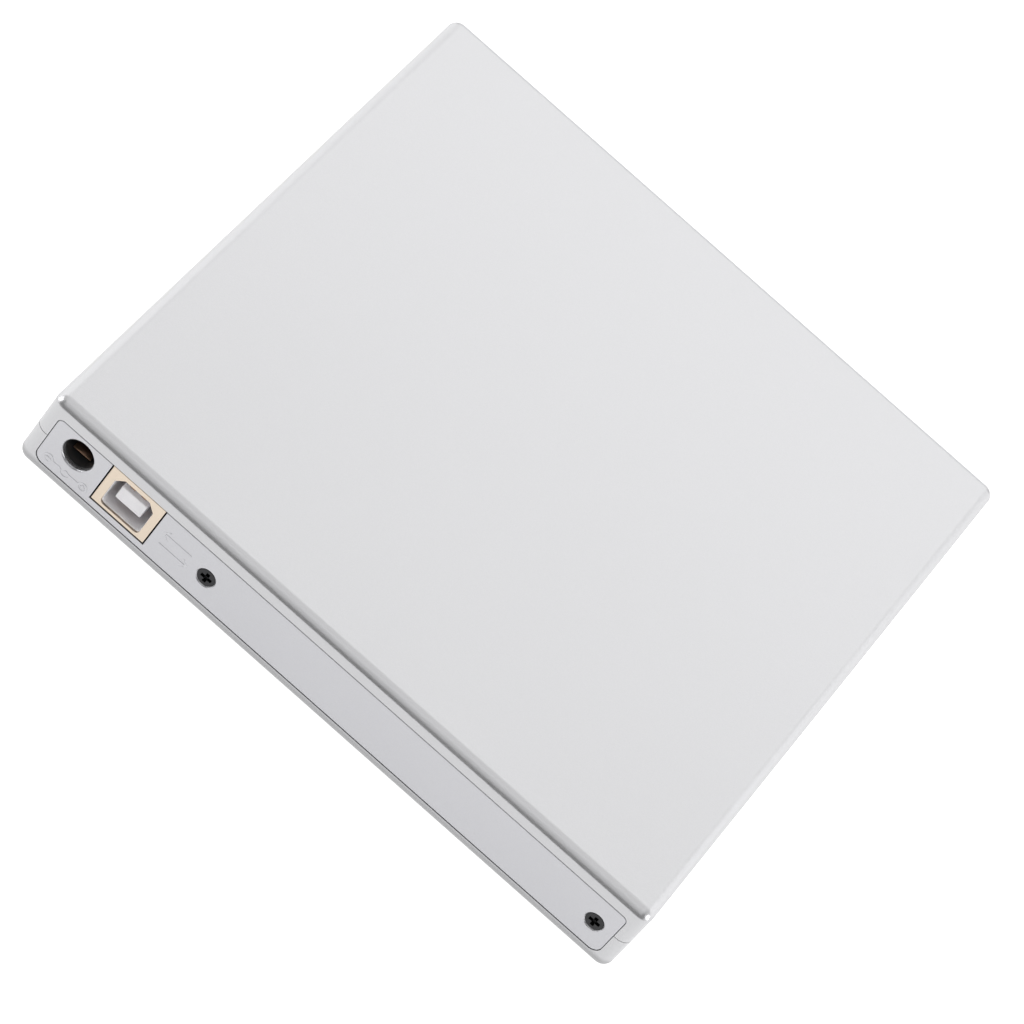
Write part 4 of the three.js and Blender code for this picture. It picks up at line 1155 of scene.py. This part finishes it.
bezel_rounding = 0.7 * MM
bezel_skin = bezel_low.y + 1.9 * MM
bezel_middle = (bezel_low.z + bezel_high.z) / 2
bezel_hole_edge = 0.08 * MM
least_round = 0.1 * MM
button_low, button_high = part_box("eject_button")
button_x = middle_of("eject_button").x
button_width = 8 * MM
button_height = 3.2 * MM
button_corner = 0.7 * MM
button_rounding = 0.3 * MM
flange_width = 9.6 * MM
flange_height = 4.8 * MM
pocket_width = 11 * MM
pocket_height = 6 * MM
stem_radius = 1 * MM
stem_tip = 0.2 * MM
front_gap = 0.6 * MM
button_hole_corner = 0.8 * MM
pipe_hole_corner = 0.5 * MM
flange_front = bezel_skin + 0.5 * MM
flange_back = flange_front + 0.8 * MM
button_back = flange_front + 0.1 * MM
stem_front = flange_back - 0.2 * MM
pipe_low, pipe_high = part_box("light_pipe")
pipe_corner = 0.45 * MM
pipe_rounding = 0.25 * MM
pinhole_x = 26 * MM
pinhole_radius = 0.7 * MM

bezel_paint = silver_paint("bezel silver paint", (0.56, 0.56, 0.57), 0.38)
button_paint = silver_paint("button silver paint", (0.5, 0.5, 0.52), 0.34)


def cushion(name, span_x, span_z, corner, rounding, front, back):
    """A plate that faces the front, with its front edge rounded all round."""
    loops = []
    for reach, depth in arc((rounding, rounding), rounding, 3, 2, 6):
        spans = (span_x[0] + reach, span_x[1] - reach), (span_z[0] + reach, span_z[1] - reach)
        loop = rounded_loop(*spans, max(corner - reach, least_round))
        loops.append([(x, front + depth, z) for x, z in loop])
    loops.append([(x, back, z) for x, z in loop])
    return stack(name, loops)


bezel = cushion(
    "tray_front_bezel", (bezel_low.x, bezel_high.x), (bezel_low.z, bezel_high.z),
    mouth_corner, bezel_rounding, bezel_low.y, bezel_high.y,
)
button_hole = around(button_x, button_width + front_gap), around(bezel_middle, button_height + front_gap)
button_pocket = around(button_x, pocket_width), around(bezel_middle, pocket_height)
pipe_hole = (
    around(middle_of("light_pipe").x, pipe_high.x - pipe_low.x + front_gap),
    around(bezel_middle, pipe_high.z - pipe_low.z + front_gap),
)
through = (bezel_low.y - past, bezel_high.y + past)
carve(
    bezel,
    panel("button hole", rounded_loop(*button_hole, button_hole_corner), through),
    panel("button pocket", rounded_loop(*button_pocket, 0), (bezel_skin, bezel_high.y + past)),
    panel("light hole", rounded_loop(*pipe_hole, pipe_hole_corner), through),
    panel("pinhole", circle((pinhole_x, bezel_middle), pinhole_radius, 32), through),
)
soften(bezel, bezel_hole_edge, 2, 50)
complete(bezel, "tray_unit", ["tray_bezel"], bezel_paint)

button_spans = around(button_x, button_width), around(bezel_middle, button_height)
button = cushion(
    "eject_push_button", *button_spans, button_corner, button_rounding, button_low.y, button_back
)
flange_spans = (
    around(button_x, flange_width), (flange_front, flange_back), around(bezel_middle, flange_height)
)
stem_profile = [
    (stem_radius, stem_front), (stem_radius, button_high.y - stem_tip),
    (stem_radius - stem_tip, button_high.y),
]
stem = turned("stem", (button_x, bezel_middle), stem_profile, "y", 32)
fuse(button, block("flange", *flange_spans), stem)
complete(button, "button", ["eject_button"], button_paint)

clear_steady = {"Transmission Weight": 0.6, "IOR": 1.49, "Coat Weight": 0.5}
window_plastic = moulded_plastic(
    "light window", (0.62, 0.85, 0.66), 0.14, 0.6 * MM, 0.002 * MM, clear_steady
)
pipe_spans = (pipe_low.x, pipe_high.x), (pipe_low.z, pipe_high.z)
pipe = cushion("busy_light_pipe", *pipe_spans, pipe_corner, pipe_rounding, pipe_low.y, pipe_high.y)
complete(pipe, "tray_unit", ["light_pipe"], window_plastic)


# ------------------------------------------------------------------ laser unit
# A die-cast frame hangs under the tray. The pickup slides in it on two polished rods, driven by
# a stepper motor's lead screw, and its lens sits in a small black holder that moves up and down.

casting_edge = 0.15 * MM
stepper_edge = 0.2 * MM
rod_tip = 0.2 * MM
screw_low, screw_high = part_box("lead_screw")
screw_radius = (screw_high.x - screw_low.x) / 2
screw_pitch = 3 * MM
ridge_width = 0.3 * MM
holder_low, holder_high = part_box("lens_holder")
holder_radius = (holder_high.x - holder_low.x) / 2
holder_edge = 0.3 * MM
lens_low, lens_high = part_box("objective_lens")
lens_radius = (lens_high.x - lens_low.x) / 2
lens_wall = 0.7 * MM
lens_gap = 0.15 * MM
lens_mouth = 0.25 * MM
lens_mouth_depth = 0.2 * MM


def cast_metal(name, colour, roughness):
    """Die-cast zinc: a dull skin with faint flow marks and pores."""
    material, shader, place = new_material(name, {"Metallic": 0.85})
    skin = noise(place, 0.5 * MM, 5.0)
    flow = noise(place, 9 * MM, 3.0)
    tone = skin * 0.5 + flow * 0.5
    feed(shader, "Base Color", tone.between(shade(colour, 0.8), shade(colour, 1.1)))
    feed(shader, "Roughness", skin * 0.15 + (roughness - 0.07))
    raise_surface(shader, skin, 0.03 * MM)
    return material


cast_zinc = cast_metal("cast frame zinc", (0.3, 0.31, 0.33), 0.45)
sled_cast = cast_metal("sled casting", (0.12, 0.12, 0.13), 0.42)
motor_steel = brushed_metal("motor steel", (0.3, 0.3, 0.31), 0.3, (1, 1, 10))

casting = refined("traverse_casting", "traverse_frame", casting_edge)
complete(casting, "tray_unit", ["traverse_frame"], cast_zinc)

for side in SIDES:
    low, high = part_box(f"guide_rod_{side}")
    middle = middle_of(f"guide_rod_{side}")
    radius = (high.x - low.x) / 2
    profile = [
        (radius - rod_tip, low.y), (radius, low.y + rod_tip),
        (radius, high.y - rod_tip), (radius - rod_tip, high.y),
    ]
    rod = turned(f"{side}_polished_rod", (middle.x, middle.z), profile, "y", 40)
    complete(rod, "tray_unit", [f"guide_rod_{side}"], polished)


def thread_tree(name):
    """Geometry Nodes: a rod with a spiral ridge, along Y."""
    sizes = ("Core Radius", "Ridge Radius", "Ridge Width", "Length", "Turns")
    base, entry = start_tree(name, Float=sizes)
    core_sizes = {"Vertices": 32, "Radius": entry["Core Radius"], "Depth": entry["Length"]}
    core = base.node("GeometryNodeMeshCylinder", None, core_sizes)
    span = entry["Length"] * 0.96
    spiral = base.node(
        "GeometryNodeCurveSpiral", None,
        {"Resolution": 24, "Rotations": entry["Turns"], "Start Radius": entry["Ridge Radius"],
         "End Radius": entry["Ridge Radius"], "Height": span},
    )
    start = base.node("ShaderNodeCombineXYZ", None, {"Z": span * -0.5})
    spiral = base.node("GeometryNodeTransform", None, {"Geometry": spiral, "Translation": start})
    ridge_sizes = {"Resolution": 6, "Radius": entry["Ridge Width"]}
    ridge = base.node("GeometryNodeCurvePrimitiveCircle", None, ridge_sizes)
    sweep = {"Curve": spiral, "Profile Curve": ridge, "Fill Caps": True}
    thread = base.node("GeometryNodeCurveToMesh", None, sweep)
    rod = base.node("GeometryNodeJoinGeometry", None, {"Geometry": [core, thread]})
    rod = base.node("GeometryNodeTransform", None, {"Geometry": rod, "Rotation": (math.pi / 2, 0, 0)})
    return finish_tree(rod, entry)


screw_length = screw_high.y - screw_low.y
thread_set = {
    "Core Radius": screw_radius - ridge_width, "Ridge Radius": screw_radius - ridge_width,
    "Ridge Width": ridge_width, "Length": screw_length, "Turns": screw_length / screw_pitch,
    "Material": polished,
}
screw_place = [tuple(middle_of("lead_screw"))]
lead = grow("threaded_lead_screw", thread_tree("lead screw"), screw_place, thread_set)
adopt(lead, "screw", ["lead_screw"], polished)

stepper = refined("stepper_motor_can", "stepper_motor", stepper_edge, 2, 30)
complete(stepper, "tray_unit", ["stepper_motor"], motor_steel)

sled = refined("pickup_sled_casting", "pickup_sled", casting_edge)
complete(sled, "pickup", ["pickup_sled"], sled_cast)

lens_centre = tuple(middle_of("objective_lens"))[:2]
ring_profile = [
    (holder_radius, holder_low.z), (holder_radius, holder_high.z - holder_edge),
    (holder_radius - holder_edge, holder_high.z),
]
ring = turned("lens_ring", lens_centre, ring_profile)
ring_bore = lens_radius + lens_gap
bore_profile = [
    (ring_bore, holder_low.z - past), (ring_bore, holder_high.z - lens_mouth_depth),
    (ring_bore + lens_mouth, holder_high.z + lens_mouth - lens_mouth_depth),
]
carve(ring, turned("bore", lens_centre, bore_profile))
complete(ring, "lens", ["lens_holder"], black_plastic)

glass_steady = {"Transmission Weight": 0.75, "IOR": 1.5, "Coat Weight": 0.6}
lens_glass = moulded_plastic(
    "coated lens glass", (0.5, 0.62, 0.9), 0.08, 2 * MM, 0.001 * MM, glass_steady
)
dome_foot = lens_low.z + lens_wall
dome = [
    (lens_radius * reach, dome_foot + (lens_high.z - dome_foot) * rise)
    for reach, rise in arc((0, 0), 1, 0, 1, 8)
]
lens = turned("objective_lens_glass", lens_centre, [(lens_radius, lens_low.z)] + dome, "z", 48)
complete(lens, "lens", ["objective_lens"], lens_glass)


# ------------------------------------------------------------------ spindle
# A flat motor turns a steel turntable. A rubber ring on it grips the disc, and the black hub in
# its middle has three sprung claws that snap into the disc's hole.

motor_low, motor_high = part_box("spindle_motor")
motor_radius = (motor_high.x - motor_low.x) / 2
motor_foot_edge = 0.3 * MM
motor_top_edge = 0.4 * MM
motor_top_inset = 0.6 * MM
shaft_hole = 1.5 * MM
shaft_radius = 1.2 * MM
table_low, table_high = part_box("turntable")
table_radius = (table_high.x - table_low.x) / 2
table_underside = 9.9 * MM
table_underside_edge = 0.2 * MM
table_rim = [(0, -0.35), (-0.12, -0.08), (-0.35, 0)]  # out from the side, up from the top
recess_radius = 7.8 * MM
recess_depth = 0.5 * MM
pad_low, pad_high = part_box("turntable_pad")
pad_radius = (pad_high.x - pad_low.x) / 2
pad_edge = 0.1 * MM
pad_bore = 9.5 * MM
spindle_span = (0, case_high.z)

table_metal = brushed_metal("turntable metal", (0.42, 0.43, 0.44), 0.3, (1, 1, 8))
motor_profile = [
    (motor_radius - motor_foot_edge, motor_low.z), (motor_radius, motor_low.z + motor_foot_edge),
    (motor_radius, motor_high.z - motor_top_edge), (motor_radius - motor_top_inset, motor_high.z),
]
motor = turned("spindle_motor_can", disc_middle, motor_profile, "z", 96)
carve(motor, turned("shaft hole", disc_middle, [(shaft_hole, z) for z in spindle_span], "z", 48))
complete(motor, "tray_unit", ["spindle_motor"], motor_steel)

table_profile = [
    (shaft_radius, table_low.z), (shaft_radius, table_underside),
    (table_radius - table_underside_edge, table_underside),
    (table_radius, table_underside + table_underside_edge),
]
table_profile += [(table_radius + out * MM, table_high.z + up * MM) for out, up in table_rim]
table_profile += [(recess_radius, table_high.z), (recess_radius, table_high.z - recess_depth)]
table = turned("spindle_turntable", disc_middle, table_profile, "z", 128)
complete(table, "spindle", ["turntable"], table_metal)

pad_profile = [
    (pad_radius - pad_edge / 2, pad_low.z), (pad_radius, pad_low.z + pad_edge),
    (pad_radius, pad_high.z - pad_edge), (pad_radius - pad_edge, pad_high.z),
]
ring_pad = turned("turntable_rubber_ring", disc_middle, pad_profile, "z", 128)
carve(ring_pad, turned("bore", disc_middle, [(pad_bore, z) for z in spindle_span], "z", 128))
complete(ring_pad, "spindle", ["turntable_pad"], foot_rubber)

hub = refined("centring_hub_claws", "centring_hub", small_part_edge, 3, 25)
complete(hub, "spindle", ["centring_hub"], black_plastic)


# ------------------------------------------------------------------ tray electronics and latch
# Under the tray a plated plate covers the drive's main board and its chip. A second small board
# sits behind the bezel with the eject switch, and a solenoid frees the hook that holds the tray.

rib_count = 8
rib_pitch = 12 * MM
rib_size = (1.6 * MM, 90 * MM, 0.3 * MM)
rib_edge = 0.12 * MM
hook_edge = 0.15 * MM
solenoid_edge = 0.3 * MM
first_rib = (-rib_pitch * (rib_count - 1) / 2, middle_of("tray_underplate").y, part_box("tray_underplate")[0].z)

cover = refined("tray_cover_plate", "tray_underplate", board_edge)
complete(cover, "tray_unit", ["tray_underplate"], sheet_zinc)
add_row(
    "cover_plate_ribs", "tray_unit", sheet_zinc,
    first_rib, (rib_pitch, 0, 0), rib_count, rib_size, rib_edge,
)

for name, node in (("main_circuit_board", "drive_board"), ("front_circuit_board", "front_board")):
    complete(refined(name, node, board_edge), "tray_unit", [node], board_green)
chip("drive_chip_body", "drive_chip", "tray_unit", True, 20)

switch = refined("eject_switch_body", "eject_switch", small_part_edge)
complete(switch, "tray_unit", ["eject_switch"], black_plastic)
hook = refined("latch_hook_moulding", "latch_hook", hook_edge)
complete(hook, "latch", ["latch_hook"], pale_plastic)
coil = refined("latch_solenoid_frame", "latch_solenoid", solenoid_edge)
complete(coil, "tray_unit", ["latch_solenoid"], steel)


# ------------------------------------------------------------------ stage
# A plain floor that glows white, under broad soft lights, seen through a long lens from behind
# and above.

half_floor = 4.0
corners = [(-1, -1), (1, -1), (1, 1), (-1, 1)]
floor = mesh_piece("floor", [(x * half_floor, y * half_floor, 0) for x, y in corners], [(0, 1, 2, 3)])
floor_steady = {"Roughness": 0.9, "Emission Color": (1, 1, 1, 1), "Emission Strength": 1.0}
floor_material, floor_shader, floor_place = new_material("pale floor", floor_steady)
feed(floor_shader, "Base Color", noise(floor_place, 0.5).between((0.3, 0.3, 0.3, 1), (0.33, 0.33, 0.33, 1)))
floor.data.materials.append(floor_material)


def softbox(name, place, size, power, target=(0, 0, 0)):
    """A square soft light at a place, facing a target."""
    light = bpy.data.lights.new(name, "AREA")
    light.shape = "SQUARE"
    light.size = size
    light.energy = power
    lamp = bpy.data.objects.new(name, light)
    lamp.location = place
    lamp.rotation_mode = "QUATERNION"
    lamp.rotation_quaternion = (Vector(target) - Vector(place)).to_track_quat("-Z", "Y")
    bpy.context.collection.objects.link(lamp)


softbox("overhead softbox", (0, -0.7, 1.6), 3.0, 27)
softbox("far softbox", (0, -2.6, 1.2), 2.4, 17, (0, 0, 0.4))
softbox("near softbox", (0, 1.1, 1.7), 1.5, 6)
for side in (2.2, -2.2):
    softbox("side softbox", (side, -1.7, 0.8), 2.0, 20)
    softbox("corner softbox", (side, 0.3, 0.8), 1.1, 26)

world = bpy.data.worlds.new("studio")
world.use_nodes = True
world.node_tree.nodes["Background"].inputs["Color"].default_value = (1, 1, 1, 1)
world.node_tree.nodes["Background"].inputs["Strength"].default_value = 0.12
bpy.context.scene.world = world
bpy.context.scene.view_settings.view_transform = "Standard"

camera_distance = 1.02238
camera_azimuth = math.radians(-178.606)
camera_elevation = math.radians(44.148)
camera_roll = math.radians(-40.5)
camera_aim = Vector((-0.003135, 0.0196, case_high.z))
camera_back = Vector((
    math.sin(camera_azimuth) * math.cos(camera_elevation),
    -math.cos(camera_azimuth) * math.cos(camera_elevation),
    math.sin(camera_elevation),
))
camera_data = bpy.data.cameras.new("camera")
camera_data.lens = 201.84
camera_data.sensor_width = 36
camera = bpy.data.objects.new("camera", camera_data)
camera.location = camera_aim + camera_back * camera_distance
upright = (-camera_back).to_track_quat("-Z", "Y").to_matrix()
camera.rotation_mode = "QUATERNION"
camera.rotation_quaternion = (upright @ Matrix.Rotation(-camera_roll, 3, "Z")).to_quaternion()
bpy.context.collection.objects.link(camera)
bpy.context.scene.camera = camera
